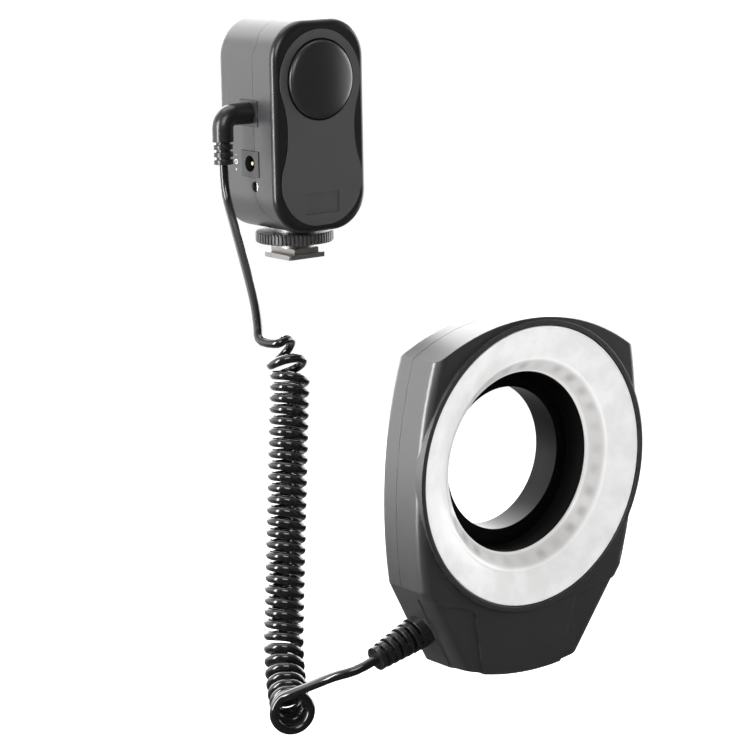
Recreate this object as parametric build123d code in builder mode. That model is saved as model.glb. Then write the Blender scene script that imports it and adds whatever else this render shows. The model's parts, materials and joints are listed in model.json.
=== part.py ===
"""Ring flash for close-up photography, in millimetres.

A battery control unit stands on an accessory shoe foot. A curly cord runs from the jack on its
side to an LED ring head, which a threaded adapter ring carries on a lens. The origin is the centre
of the foot's underside, +Z is up and the ring head faces -Y.
"""

import math
import os

from build123d import *

os.makedirs("parts", exist_ok=True)

# Control unit case: width along X, height along Z
unit_width = 46.0
unit_bottom = 12.3
unit_top = 97.9
unit_corner = 16.0
unit_wall = 1.8
bezel_seam_y = -16.6
bezel_front_y = -19.8
bezel_fillet = 2.8
front_wall = 1.6
cover_seam_y = 13.3
unit_back_y = 19.2
cover_fillet = 3.4
back_wall = 2.0
seam_gap = 0.15

# Parting line of the case, seen from the side: it steps near the top and sweeps forward below
parting_y = -5.2
parting_step = 1.6
parting_step_z = 88.6
parting_step_half = 4.5
parting_top_back = 0.5
parting_sweep_z = 30.0
parting_sweep_radius = 13.0

# Front panel and its round cap
panel_thickness = 1.3
panel_proud = 0.2
panel_gap = 0.15
lobe_margin = 2.8
lobe_radius = unit_width / 2 - lobe_margin
lobe_z = 74.0
waist_draw = 3.6
waist_half = lobe_radius - waist_draw
waist_z = 53.5
foot_lobe_draw = 2.2
foot_lobe_radius = lobe_radius - foot_lobe_draw
foot_lobe_x = 2.3
cap_margin = 4.35
cap_radius = lobe_radius - cap_margin
cap_ring_gap = 0.7
cap_rise = 3.3
cap_shoulder = 1.8
cap_dome = 0.35
cap_edge = 1.5
window_width = 17.0
window_height = 8.5
window_z = 24.0
window_depth = 0.35

# Shoe foot, its contact and its lock wheel
foot_width = 18.6
foot_length = 18.0
foot_plate = 2.0
foot_corner = 0.8
web_width = 12.3
web_length = 16.0
web_top = 4.2
stud_radius = 8.8
neck_radius = 5.5
neck_gap = 0.1
flange_width = 13.6
flange_length = 20.0
flange_thickness = 2.2
foot_screw_y = 7.8
foot_screw_radius = 1.0
foot_screw_head = 1.8
foot_screw_head_height = 0.8
wheel_radius = 16.1
wheel_bottom = 6.5
wheel_top = 10.9
wheel_clearance = 0.05
wheel_chamfer = 0.5
ridge_count = 60
ridge_depth = 0.6
ridge_width = 0.8
contact_radius = 1.5
contact_clearance = 0.05
contact_proud = 0.5
contact_lip = 1.0
contact_collar_radius = 1.9
contact_collar_height = 3.0
contact_bore_depth = 6.0

# Battery compartment: two AA cells side by side, one up and one down
cell_radius = 7.15
cell_length = 50.5
cell_spacing = 14.5
cell_nub_radius = 2.7
cell_nub_height = 1.0
cell_x = 2.45
cell_y = 8.3
cell_bottom = 21.0
tray_wall = 1.0
tray_gap = 0.15
contact_plate = 0.6
contact_width = 10.0
leaf_height = 2.0
leaf_half = 4.0
leaf_width = 6.0
leaf_thickness = 0.4
leaf_foot = 0.6

# Jacks and the lanyard pin on the left side
jack_y = -2.3
jack_tray_gap = 0.4
jack_depth = unit_width / 2 + cell_x - cell_spacing / 2 - cell_radius - tray_gap - tray_wall - jack_tray_gap
jack_plate_y = 11.8
jack_plate_z = 10.4
jack_proud = 0.3
jack_gap = 0.12
output_jack_z = 61.0
output_bore_radius = 1.85
output_bore_end = 0.9
output_bore_depth = jack_depth - output_bore_end
dc_jack_z = 40.5
dc_bore_radius = 3.3
dc_bore_end = 1.1
dc_bore_depth = jack_depth - dc_bore_end
dc_pin_radius = 0.95
dc_pin_short = 1.2
eyelet_z = 31.4
eyelet_radius = 2.1
eyelet_depth = 3.4
eyelet_wall = 1.1
eyelet_pin_radius = 0.6
eyelet_pin_inset = 1.5
eyelet_pin_length = 5.8

# Battery door: it slides down until its hooks meet the notches in the deck
door_lap = 1.1
door_half_width = cell_x + cell_spacing / 2 + cell_radius + tray_gap + door_lap
door_top = 73.6
door_gap = 0.15
door_travel = 7.0
deck_thickness = 1.5
deck_wall = 1.0
hook_low_z = 34.0
hook_high_z = 60.0
hook_height = 6.6
hook_reach = 1.4
hook_stem = 1.2
hook_thickness = 1.0
hook_gap = 0.15
grip_count = 5
grip_pitch = 2.2
grip_z = 62.0
grip_width = 16.0
grip_depth = 0.5

# Controls on the back
button_row_z = 79.4
switch_row_z = 89.0
lamp_z = 85.2
switch_x = 8.6
switch_travel = 4.0
switch_knob_width = 3.2
switch_knob_height = 3.2
switch_knob_proud = 1.2
switch_groove = 0.5
switch_plate_length = 10.6
switch_plate_height = 5.0
switch_plate_thickness = 0.8
test_radius = 3.4
side_button_x = 10.4
side_button_width = 7.6
side_button_height = 5.0
side_button_corner = 2.0
button_proud = 0.8
button_gap = 0.12
button_edge = 0.3
button_flange = 0.8
button_flange_thickness = 0.9
button_rest_gap = 0.1
lamp_radius = 1.2
lamp_gap = 0.05
lamp_proud = 0.6
control_board_y = 12.6
control_board_thickness = 1.2
control_board_inset = 3.6
control_board_half_width = 15.3
control_board_bottom = 74.6
control_board_top = 93.5
control_post_x = 11.0
control_post_z = 84.2
control_post_radius = 1.3
tact_size = 6.0
tact_height = 1.6
slide_body_length = 10.0
slide_body_width = 5.0
slide_body_height = 1.9
cover_screw_clear = 0.6
cover_screw_z = 80.0
screw_radius = 1.1
screw_gap = 0.1
screw_head_radius = 1.9
screw_head_height = 1.2
screw_boss_radius = 2.3
cover_screw_x = (
    side_button_x + side_button_width / 2 + button_flange + screw_boss_radius + cover_screw_clear
)
screw_boss_rib = 0.8
screw_boss_length = 6.0
screw_length = 8.0

# Main board
main_board_y = -12.4
main_board_thickness = 1.6
main_board_margin = 4.5
main_board_half_width = unit_width / 2 - main_board_margin
main_board_bottom = 26.0
main_board_top = 90.0
main_board_corner = 3.0
main_post_radius = 2.0
main_post_inset = 3.5
main_post_x = main_board_half_width - main_post_inset
main_post_low_z = 31.0
main_post_high_z = 84.0

# Lens adapter, sized by the lens thread, and the sleeve that it turns in
adapter_thread_radius = 29.0
adapter_thread_length = 3.5
adapter_wall = 1.6
adapter_bore_radius = adapter_thread_radius - adapter_wall
adapter_neck_step = 2.0
adapter_neck_radius = adapter_thread_radius + adapter_neck_step
adapter_collar_step = 1.4
adapter_collar_radius = adapter_neck_radius + adapter_collar_step
adapter_collar_thickness = 1.4
adapter_flange_step = 2.6
adapter_flange_radius = adapter_neck_radius + adapter_flange_step
adapter_flange_thickness = 2.4
adapter_clearance = 0.05
adapter_end_gap = 0.1
sleeve_lip_height = 5.2
sleeve_outer_radius = adapter_neck_radius + sleeve_lip_height
sleeve_lip_thickness = 4.2
sleeve_flange_step = 2.8
sleeve_flange_radius = sleeve_outer_radius + sleeve_flange_step
sleeve_flange_thickness = 1.4
sleeve_fit_gap = 0.1
sleeve_end_gap = 0.1

# Diffuser: a wide outer band, a soft ridge and a steep inner band round the bore
diffuser_radius = 53.1
diffuser_gap = 0.3
diffuser_front_depth = 0.5
diffuser_ledge = 1.6
ledge_depth = 2.0
band_edge = 0.8
band_edge_radius = diffuser_radius - band_edge
band_sag = 0.5
ridge_at_depth = 4.4
diffuser_seat = 1.6
diffuser_inner_radius = sleeve_outer_radius - diffuser_seat
inner_band_width = 5.8
ridge_radius = diffuser_inner_radius + inner_band_width
diffuser_foot_depth = 10.6
diffuser_foot_width = 1.6
diffuser_foot_height = 1.0
diffuser_thickness = 1.6

# LED ring
led_count = 28
led_size = 5.0
led_height = 1.6
led_board_inner_gap = 0.4
led_board_inner = sleeve_outer_radius + led_board_inner_gap
led_board_outer_gap = 2.7
led_board_outer = diffuser_radius - led_board_outer_gap
led_circle = (led_board_inner + led_board_outer) / 2
led_board_depth = 13.0
led_board_thickness = 1.6
led_post_count = 6
led_post_radius = 2.0

# Ring head: depths count back from the front of its rim
head_front_y = -148.1
lens_axis_z = -62.4
head_roll = -4.6
rim_width = 2.2
rim_radius = diffuser_radius + rim_width
rim_taper = 1.2
rim_wall_depth = 8.0
side_tuck = 0.7
head_half_width = rim_radius - side_tuck
head_crown = 1.0
head_top = rim_radius + head_crown
chin_reach = 24.0
head_bottom = rim_radius + chin_reach
shoulder_step = 5.0
shoulder_x = head_half_width - shoulder_step
shoulder_fall = 13.7
shoulder_z = rim_radius - shoulder_fall
cheek_step = 4.6
cheek_x = head_half_width - cheek_step
cheek_rise = 11.7
cheek_z = cheek_rise - rim_radius
chin_step = 25.0
chin_x = rim_radius - chin_step
chin_fall = 19.9
chin_z = -rim_radius - chin_fall
head_wall = 2.2
face_depth = 1.0
head_parting_depth = 15.0
head_back_depth = 24.5
head_seam_gap = 0.15
side_fillet = 3.7
back_fillet = 3.6
wing_relief = 0.5
wing_top_inset = 4.8
wing_top_x = chin_x - wing_top_inset
wing_top_rise = 22.5
wing_top_z = chin_z + wing_top_rise
wing_side_reach = 5.4
wing_side_x = head_half_width + wing_side_reach
wing_low_inset = 13.9
wing_low_x = chin_x - wing_low_inset
wing_low_fall = 14.8
wing_low_z = chin_z - wing_low_fall

# Screws that hold the head's two shells
head_boss_radius = 3.0
head_boss_gap = 1.34
head_screw_circle = led_board_outer + head_boss_gap + head_boss_radius
head_screw_angle = math.radians(39.07)
head_screw_x = head_screw_circle * math.cos(head_screw_angle)
head_screw_z = head_screw_circle * math.sin(head_screw_angle)
chin_screw_inset = 3.3
chin_screw_x = chin_x - chin_screw_inset
chin_screw_rise = 13.2
chin_screw_z = chin_z + chin_screw_rise
head_screw_head_radius = 2.3
head_screw_head_height = 1.6
head_screw_grip = 6.0

# Strain relief on the left cheek
gland_along_cheek = 20.5
gland_lift = 10.0
gland_hole_radius = 4.8
gland_neck_radius = 4.7
gland_collar_radius = 6.4
gland_collar_length = 4.2
gland_ring_count = 6
gland_ring_pitch = 3.1
gland_ring_width = 1.8
gland_first_radius = 6.1
gland_tip_radius = 4.6
gland_core_radius = 3.3
gland_bridge_width = 2.2
gland_bridge_inset = 0.5
gland_flange_radius = 6.0
gland_flange_back = 5.4
gland_flange_thickness = 1.9

# Right-angle plug on the output jack
plug_leg_radius = 4.35
plug_bend_radius = 5.2
plug_reach = 12.9
plug_drop = 10.4
plug_ring_count = 3
plug_ring_radius = 3.95
plug_ring_width = 1.9
plug_ring_pitch = 3.0
plug_core_radius = 2.9
plug_barrel_radius = 1.75
plug_barrel_end = 0.6
plug_barrel_length = output_bore_depth - plug_barrel_end
plug_tip_chamfer = 0.8

# Curly cord: a left-handed helix on a centre line that bends at both ends
cord_radius = 1.8
cord_sides = 6
curl_radius = 6.0
last_curl_radius = 7.6
opening_curls = 1.5
curl_start = 200.0
first_curl = 0.22
curl_pitch = 4.35
hang_curls = 22.0
coil_neck = (-45.8, -56.8, -36.4)
coil_lean = 18.3
coil_heading = -135.0
fan_turn = 55.0
fan_bend_radius = 15.6
fan_heading = -38.3
fan_curls = 2.25
tail_turn = 76.0
tail_bend_radius = 33.3
tail_heading = -117.0
tail_curls = 8.9
coil_step = 0.001
samples_apart = 10

# Free stretches of the cord, from the plug to the coil and from the coil to the strain relief
upper_route = (
    (-36.2, -2.3, 33.0),
    (-36.8, -6.0, 24.7),
    (-39.8, -14.6, 16.2),
    (-44.0, -26.6, 3.7),
    (-47.8, -37.6, -8.6),
    (-50.2, -42.7, -17.6),
    (-51.9, -45.0, -22.8),
)
lower_route = (
    (-84.3, -112.0, -139.8),
    (-83.0, -120.0, -135.6),
    (-80.0, -127.2, -131.6),
)
cord_straight = 8.5
bend_share = 0.45

head_plane = Plane(
    origin=(0, head_front_y, lens_axis_z),
    x_dir=(math.cos(math.radians(head_roll)), 0, math.sin(math.radians(head_roll))),
    z_dir=(0, -1, 0),
)
head_section = Plane(origin=(0, head_front_y, lens_axis_z))
head_axis = Axis((0, head_front_y, lens_axis_z), (0, 1, 0))


def unit_block(inset, front_y, back_y):
    """The case's rounded outline, drawn in by an inset, between two depths."""
    with BuildPart() as block:
        with BuildSketch(Plane.XZ.offset(-back_y)):
            with Locations((0, (unit_top + unit_bottom) / 2)):
                RectangleRounded(
                    unit_width - 2 * inset, unit_top - unit_bottom - 2 * inset, unit_corner - inset
                )
        extrude(amount=back_y - front_y)
    return block.part


def front_region(gap):
    """All that lies before the case's parting line, moved forward by a gap."""
    line_y = parting_y - gap
    sweep_radius = parting_sweep_radius - gap
    sweep_end_y = line_y - sweep_radius
    sweep_end_z = parting_sweep_z - sweep_radius
    sweep_slant = sweep_radius * math.sqrt(0.5)
    ceiling_z = unit_top + unit_wall
    with BuildPart() as region:
        with BuildSketch(Plane.YZ.offset(-unit_width)):
            with BuildLine():
                Polyline(
                    (sweep_end_y, sweep_end_z),
                    (sweep_end_y - unit_width, sweep_end_z),
                    (sweep_end_y - unit_width, ceiling_z),
                    (line_y + parting_top_back, ceiling_z),
                    (line_y + parting_top_back, parting_step_z + parting_step_half),
                    (line_y - parting_step, parting_step_z),
                    (line_y, parting_step_z - parting_step_half),
                    (line_y, parting_sweep_z),
                )
                ThreePointArc(
                    (line_y, parting_sweep_z),
                    (sweep_end_y + sweep_slant, parting_sweep_z - sweep_slant),
                    (sweep_end_y, sweep_end_z),
                )
            make_face()
        extrude(amount=2 * unit_width)
    return region.part


def panel_outline(grow):
    """The front panel's outline: a round upper lobe, a waist and a broad lower lobe."""
    waist_drop = lobe_z - waist_z
    waist_radius = (waist_half**2 + waist_drop**2 - lobe_radius**2) / (2 * (lobe_radius - waist_half))
    top_centre = Vector(0, lobe_z)
    waist_centre = Vector(waist_half + waist_radius, waist_z)
    foot_reach = waist_centre.X - foot_lobe_x
    foot_centre = Vector(
        foot_lobe_x, waist_z - math.sqrt((waist_radius + foot_lobe_radius) ** 2 - foot_reach**2)
    )
    top_joint = top_centre + (waist_centre - top_centre).normalized() * lobe_radius
    foot_joint = foot_centre + (waist_centre - foot_centre).normalized() * foot_lobe_radius
    foot_end = foot_centre - Vector(0, foot_lobe_radius)
    diagonal = math.sqrt(0.5)
    with BuildSketch() as outline:
        with BuildLine():
            ThreePointArc(
                top_centre + Vector(0, lobe_radius),
                top_centre + Vector(diagonal, diagonal) * lobe_radius,
                top_joint,
            )
            ThreePointArc(top_joint, (waist_half, waist_z), foot_joint)
            ThreePointArc(
                foot_joint, foot_centre + Vector(diagonal, -diagonal) * foot_lobe_radius, foot_end
            )
            Line(foot_end, (0, foot_end.Y))
            mirror(about=Plane.YZ)
        make_face()
        if grow:
            offset(amount=grow)
    return outline.sketch


def slab(half_width, low_z, high_z, front_y, back_y):
    """A plain box across the case, centred on its middle plane."""
    with BuildPart() as box:
        with BuildSketch(on_back(back_y)):
            with Locations((0, (low_z + high_z) / 2)):
                Rectangle(2 * half_width, high_z - low_z)
        extrude(amount=back_y - front_y)
    return box.part


def cover_blank():
    """The back cover's outer form, soft along its rear edge."""
    with BuildPart() as blank:
        add(unit_block(0, cover_seam_y, unit_back_y))
        fillet(blank.faces().sort_by(Axis.Y)[-1].edges(), radius=cover_fillet)
    return blank.part


def head_outline():
    """The head's outline, seen from the front: four arcs and two straight cheeks."""
    with BuildSketch() as outline:
        with BuildLine():
            ThreePointArc((-shoulder_x, shoulder_z), (0, head_top), (shoulder_x, shoulder_z))
            ThreePointArc((shoulder_x, shoulder_z), (head_half_width, 0), (cheek_x, cheek_z))
            Line((cheek_x, cheek_z), (chin_x, chin_z))
            ThreePointArc((chin_x, chin_z), (0, -head_bottom), (-chin_x, chin_z))
            Line((-chin_x, chin_z), (-cheek_x, cheek_z))
            ThreePointArc((-cheek_x, cheek_z), (-head_half_width, 0), (-shoulder_x, shoulder_z))
        make_face()
    return outline.sketch


def head_block(inset, front_depth, back_depth, front_fillet, rear_fillet):
    """The head's outline between two depths, soft along both sides in front and all round behind."""
    with BuildPart() as block:
        with BuildSketch(head_plane.offset(-back_depth)):
            add(head_outline())
            if inset:
                offset(amount=-inset, kind=Kind.INTERSECTION)
        extrude(amount=back_depth - front_depth)
        front_edges = block.faces().sort_by(Axis.Y)[0].edges()
        side_edges = front_edges.filter_by(
            lambda edge: abs(head_plane.to_local_coords(edge @ 0.5).X) > chin_x
        )
        fillet(side_edges, radius=front_fillet)
        fillet(block.faces().sort_by(Axis.Y)[-1].edges(), radius=rear_fillet)
    return block.part


def head_ring(outer_radius, inner_radius, front_depth, back_depth):
    """A plain ring or disc round the lens axis between two depths."""
    with BuildPart() as ring:
        with BuildSketch(head_plane.offset(-back_depth)):
            Circle(outer_radius)
            if inner_radius:
                Circle(inner_radius, mode=Mode.SUBTRACT)
        extrude(amount=back_depth - front_depth)
    return ring.part


def on_side(depth):
    """A plane parallel to the case's left side, a depth inside it, facing inwards."""
    return Plane.YZ.offset(depth - unit_width / 2)


def on_back(y):
    """A plane across the case at a depth, facing forwards."""
    return Plane.XZ.offset(-y)


def biarc(start, start_way, end, end_way):
    """Joins two directed points by two arcs that share a tangent."""
    span = end - start
    ways = start_way + end_way
    bend = 2 - 2 * start_way.dot(end_way)
    pull = span.dot(ways)
    reach = (math.sqrt(pull**2 + bend * span.dot(span)) - pull) / bend
    first_corner = start + start_way * reach
    last_corner = end - end_way * reach
    joint = (first_corner + last_corner) * 0.5
    TangentArc(start, joint, tangent=start_way)
    TangentArc(joint, end, tangent=last_corner - first_corner)


def route_radii(points):
    """The largest radius that each corner of a cord's route allows."""
    radii = []
    for before, corner, after in zip(points, points[1:], points[2:]):
        run_in = Vector(corner) - Vector(before)
        run_out = Vector(after) - Vector(corner)
        turn = math.radians(run_in.get_angle(run_out))
        radii.append(bend_share * min(run_in.length, run_out.length) / math.tan(turn / 2))
    return radii


def heading_vector(heading, dip):
    """A unit vector by its compass heading about +Z and its dip below the horizontal, in degrees."""
    level = math.cos(math.radians(dip))
    return Vector(
        level * math.cos(math.radians(heading)),
        level * math.sin(math.radians(heading)),
        -math.sin(math.radians(dip)),
    )


# The case is one hollow form, open at the back, that the parting line then cuts in two
with BuildPart() as case:
    add(unit_block(0, bezel_seam_y, cover_seam_y))
    add(unit_block(unit_wall, bezel_seam_y + front_wall, cover_seam_y), mode=Mode.SUBTRACT)
    with BuildSketch(on_side(unit_wall / 2)):
        with Locations((parting_y, eyelet_z)):
            Circle(eyelet_radius + eyelet_wall)
    extrude(amount=eyelet_depth + eyelet_wall - unit_wall / 2)
    with BuildSketch(on_side(-jack_proud)):
        with Locations((parting_y, eyelet_z)):
            Circle(eyelet_radius)
    extrude(amount=jack_proud + eyelet_depth, mode=Mode.SUBTRACT)
    with BuildSketch(Plane.XY.offset(eyelet_z - eyelet_pin_length / 2)):
        with Locations((eyelet_pin_inset - unit_width / 2, parting_y)):
            Circle(eyelet_pin_radius)
    extrude(amount=eyelet_pin_length, mode=Mode.SUBTRACT)
    with BuildSketch(on_side(-jack_proud)):
        with Locations((jack_y, output_jack_z), (jack_y, dc_jack_z)):
            Rectangle(jack_plate_y + 2 * jack_gap, jack_plate_z + 2 * jack_gap)
    extrude(amount=jack_proud + 2 * unit_wall, mode=Mode.SUBTRACT)
    with BuildSketch(Plane.XY.offset(unit_bottom)):
        Circle(neck_radius + neck_gap)
        with Locations((0, -foot_screw_y), (0, foot_screw_y)):
            Circle(foot_screw_radius)
    extrude(amount=unit_wall, mode=Mode.SUBTRACT)

main_posts = [(x, z) for x in (-main_post_x, main_post_x) for z in (main_post_low_z, main_post_high_z)]
with BuildPart() as unit_front_shell:
    add(case.part)
    add(front_region(seam_gap), mode=Mode.INTERSECT)
    with BuildSketch(on_back(main_board_y)):
        with Locations(*main_posts):
            Circle(main_post_radius)
    extrude(amount=main_board_y - bezel_seam_y - front_wall / 2)
unit_front_shell.part.label = "unit_front_shell"

cover_screws = [(-cover_screw_x, cover_screw_z), (cover_screw_x, cover_screw_z)]
wall_middle_x = (unit_width - unit_wall) / 2
with BuildPart() as unit_rear_shell:
    add(case.part)
    add(front_region(0), mode=Mode.SUBTRACT)
    with BuildSketch(on_back(cover_seam_y)):
        for side_x, boss_z in cover_screws:
            with Locations((side_x, boss_z)):
                Circle(screw_boss_radius)
            with Locations((math.copysign((cover_screw_x + wall_middle_x) / 2, side_x), boss_z)):
                Rectangle(wall_middle_x - cover_screw_x, 2 * screw_boss_rib)
    extrude(amount=screw_boss_length)
    with BuildSketch(on_back(cover_seam_y)):
        with Locations(*cover_screws):
            Circle(screw_radius)
    extrude(amount=screw_boss_length - screw_radius, mode=Mode.SUBTRACT)
unit_rear_shell.part.label = "unit_rear_shell"

# Front bezel with the recess for its panel
with BuildPart() as front_bezel:
    add(unit_block(0, bezel_front_y, bezel_seam_y))
    fillet(front_bezel.faces().sort_by(Axis.Y)[0].edges(), radius=bezel_fillet)
    with BuildSketch(on_back(bezel_front_y + panel_thickness - panel_proud)):
        add(panel_outline(panel_gap))
    extrude(amount=panel_thickness, mode=Mode.SUBTRACT)
front_bezel.part.label = "front_bezel"

panel_back_y = bezel_front_y + panel_thickness - panel_proud
panel_front_y = panel_back_y - panel_thickness
with BuildPart() as front_panel:
    with BuildSketch(on_back(panel_back_y)):
        add(panel_outline(0))
        with Locations((0, lobe_z)):
            Circle(cap_radius + cap_ring_gap, mode=Mode.SUBTRACT)
    extrude(amount=panel_thickness)
    with BuildSketch(on_back(panel_front_y)):
        with Locations((0, window_z)):
            Rectangle(window_width, window_height)
    extrude(amount=-window_depth, mode=Mode.SUBTRACT)
front_panel.part.label = "front_panel"

# Round cap: a straight rim, a soft shoulder and a slightly domed face
cap_front_y = panel_front_y - cap_rise
with BuildPart() as dome_cap:
    with BuildSketch(Plane(origin=(0, 0, lobe_z))):
        with BuildLine():
            TangentArc(
                (0, cap_front_y),
                (cap_radius - cap_shoulder, cap_front_y + cap_dome),
                tangent=(1, 0),
            )
            Polyline(
                (cap_radius - cap_shoulder, cap_front_y + cap_dome),
                (cap_radius, cap_front_y + cap_dome),
                (cap_radius, panel_back_y),
                (0, panel_back_y),
                (0, cap_front_y),
            )
        make_face()
    revolve(axis=Axis((0, 0, lobe_z), (0, 1, 0)))
    fillet(dome_cap.edges().filter_by(GeomType.CIRCLE).group_by(Axis.Y)[-2], radius=cap_edge)
dome_cap.part.label = "dome_cap"

# Jacks: square plates through the side, each with a round bore
with BuildPart() as output_jack:
    with BuildSketch(on_side(-jack_proud)):
        with Locations((jack_y, output_jack_z)):
            Rectangle(jack_plate_y, jack_plate_z)
    extrude(amount=jack_proud + jack_depth)
    with BuildSketch(on_side(-jack_proud)):
        with Locations((jack_y, output_jack_z)):
            Circle(output_bore_radius)
    extrude(amount=output_bore_depth, mode=Mode.SUBTRACT)
output_jack.part.label = "output_jack"

with BuildPart() as dc_jack:
    with BuildSketch(on_side(-jack_proud)):
        with Locations((jack_y, dc_jack_z)):
            Rectangle(jack_plate_y, jack_plate_z)
    extrude(amount=jack_proud + jack_depth)
    with BuildSketch(on_side(-jack_proud)):
        with Locations((jack_y, dc_jack_z)):
            Circle(dc_bore_radius)
    extrude(amount=dc_bore_depth, mode=Mode.SUBTRACT)
dc_jack.part.label = "dc_jack"

with BuildPart() as dc_jack_pin:
    with BuildSketch(on_side(dc_bore_depth - jack_proud)):
        with Locations((jack_y, dc_jack_z)):
            Circle(dc_pin_radius)
    extrude(amount=dc_pin_short - dc_bore_depth)
    fillet(dc_jack_pin.faces().sort_by(Axis.X)[0].edges(), radius=dc_pin_radius / 3)
dc_jack_pin.part.label = "dc_jack_pin"

with BuildPart() as lanyard_pin:
    with BuildSketch(Plane.XY.offset(eyelet_z - eyelet_pin_length / 2)):
        with Locations((eyelet_pin_inset - unit_width / 2, parting_y)):
            Circle(eyelet_pin_radius)
    extrude(amount=eyelet_pin_length)
lanyard_pin.part.label = "lanyard_pin"

# Back cover: a shallow shell with a deck under the battery door
cover_inner_y = unit_back_y - back_wall
deck_y = cover_inner_y - deck_thickness
tray_left = cell_x - cell_spacing / 2 - cell_radius - tray_gap
tray_right = cell_x + cell_spacing / 2 + cell_radius + tray_gap
tray_low = cell_bottom - leaf_height - contact_plate
tray_high = cell_bottom + cell_length + contact_plate
tray_mid_x = (tray_left + tray_right) / 2
tray_mid_z = (tray_low + tray_high) / 2
hook_heights = (hook_low_z, hook_high_z)
side_hooks = ((tray_left, -1), (tray_right, 1))
slot_length = switch_knob_width + switch_travel + 2 * button_gap
with BuildPart() as control_space:
    add(unit_block(unit_wall, cover_seam_y, cover_inner_y))
    add(
        slab(unit_width, door_top + door_gap + deck_wall, unit_top, cover_seam_y, cover_inner_y),
        mode=Mode.INTERSECT,
    )

with BuildPart() as rear_cover:
    add(cover_blank())
    add(unit_block(unit_wall, cover_seam_y, deck_y), mode=Mode.SUBTRACT)
    add(control_space.part, mode=Mode.SUBTRACT)
    with BuildSketch(on_back(cover_inner_y)):
        with Locations((0, door_top + door_gap - unit_top)):
            Rectangle(2 * (door_half_width + door_gap), 2 * unit_top)
    extrude(amount=-back_wall, mode=Mode.SUBTRACT)
    with BuildSketch(on_back(cover_inner_y)):
        with Locations((tray_mid_x, tray_mid_z)):
            Rectangle(tray_right - tray_left, tray_high - tray_low)
        for edge_x, way in side_hooks:
            for hook_z in hook_heights:
                with Locations((edge_x + way * hook_reach / 2, hook_z - door_travel)):
                    Rectangle(hook_reach + 2 * hook_gap, hook_height + 2 * hook_gap)
    extrude(amount=deck_thickness, mode=Mode.SUBTRACT)
    with BuildSketch(on_back(cover_seam_y)):
        with Locations(*cover_screws):
            Circle(screw_boss_radius)
    extrude(amount=cover_seam_y - cover_inner_y - back_wall / 2)
    with BuildSketch(on_back(cover_seam_y)):
        with Locations(*cover_screws):
            Circle(screw_radius + screw_gap)
    extrude(amount=cover_seam_y - unit_back_y, mode=Mode.SUBTRACT)
    with BuildSketch(on_back(unit_back_y)):
        with Locations(*cover_screws):
            Circle(screw_head_radius + screw_gap)
    extrude(amount=screw_head_height + screw_gap, mode=Mode.SUBTRACT)
    with BuildSketch(on_back(cover_inner_y)):
        with Locations((-switch_x, switch_row_z), (switch_x, switch_row_z)):
            Rectangle(slot_length, switch_knob_height + 2 * button_gap)
        with Locations((0, button_row_z)):
            Circle(test_radius + button_gap)
        with Locations((-side_button_x, button_row_z), (side_button_x, button_row_z)):
            RectangleRounded(
                side_button_width + 2 * button_gap, side_button_height + 2 * button_gap, side_button_corner
            )
        with Locations((0, lamp_z)):
            Circle(lamp_radius + lamp_gap)
    extrude(amount=-back_wall, mode=Mode.SUBTRACT)
    with BuildSketch(on_back(cover_inner_y)):
        with Locations((-control_post_x, control_post_z), (control_post_x, control_post_z)):
            Circle(control_post_radius)
    extrude(amount=cover_inner_y - control_board_y - control_board_thickness)
rear_cover.part.label = "rear_cover"

with BuildPart() as battery_door:
    add(cover_blank())
    add(slab(door_half_width, 0, door_top, cover_inner_y, unit_back_y), mode=Mode.INTERSECT)
    with BuildSketch(on_back(unit_back_y)):
        with GridLocations(0, grip_pitch, 1, grip_count):
            with Locations((0, grip_z)):
                RectangleRounded(grip_width, grip_pitch / 2, grip_pitch / 4.5)
    extrude(amount=grip_depth, mode=Mode.SUBTRACT)
    for edge_x, way in side_hooks:
        with BuildSketch(on_back(cover_inner_y)):
            for hook_z in hook_heights:
                with Locations((edge_x - way * (hook_gap + hook_stem / 2), hook_z)):
                    Rectangle(hook_stem, hook_height)
        extrude(amount=deck_thickness + hook_gap + hook_thickness)
        with BuildSketch(on_back(deck_y - hook_gap)):
            for hook_z in hook_heights:
                with Locations((edge_x + way * (hook_reach - hook_gap - hook_stem) / 2, hook_z)):
                    Rectangle(hook_reach + hook_gap + hook_stem, hook_height)
        extrude(amount=hook_thickness)
battery_door.part.label = "battery_door"

# Battery tray, cells and contacts
tray_inset = unit_wall + tray_gap
tray_front_y = cell_y - cell_radius - tray_gap
with BuildPart() as tray_space:
    with BuildSketch(on_back(deck_y)):
        with Locations((tray_mid_x, tray_mid_z)):
            Rectangle(tray_right - tray_left, tray_high - tray_low)
    extrude(amount=deck_y - tray_front_y)
    add(unit_block(tray_inset + tray_wall, tray_front_y, deck_y), mode=Mode.INTERSECT)

with BuildPart() as battery_tray:
    with BuildSketch(on_back(deck_y)):
        with Locations((tray_mid_x, tray_mid_z)):
            Rectangle(tray_right - tray_left + 2 * tray_wall, tray_high - tray_low + 2 * tray_wall)
    extrude(amount=deck_y - tray_front_y + tray_wall)
    add(unit_block(tray_inset, tray_front_y - tray_wall, deck_y), mode=Mode.INTERSECT)
    add(tray_space.part, mode=Mode.SUBTRACT)
    with BuildSketch(on_back(deck_y)):
        with Locations((tray_mid_x, tray_mid_z)):
            Rectangle(2 * unit_width, tray_high - tray_low)
    extrude(amount=hook_thickness + 2 * hook_gap, mode=Mode.SUBTRACT)
battery_tray.part.label = "battery_tray"

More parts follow.
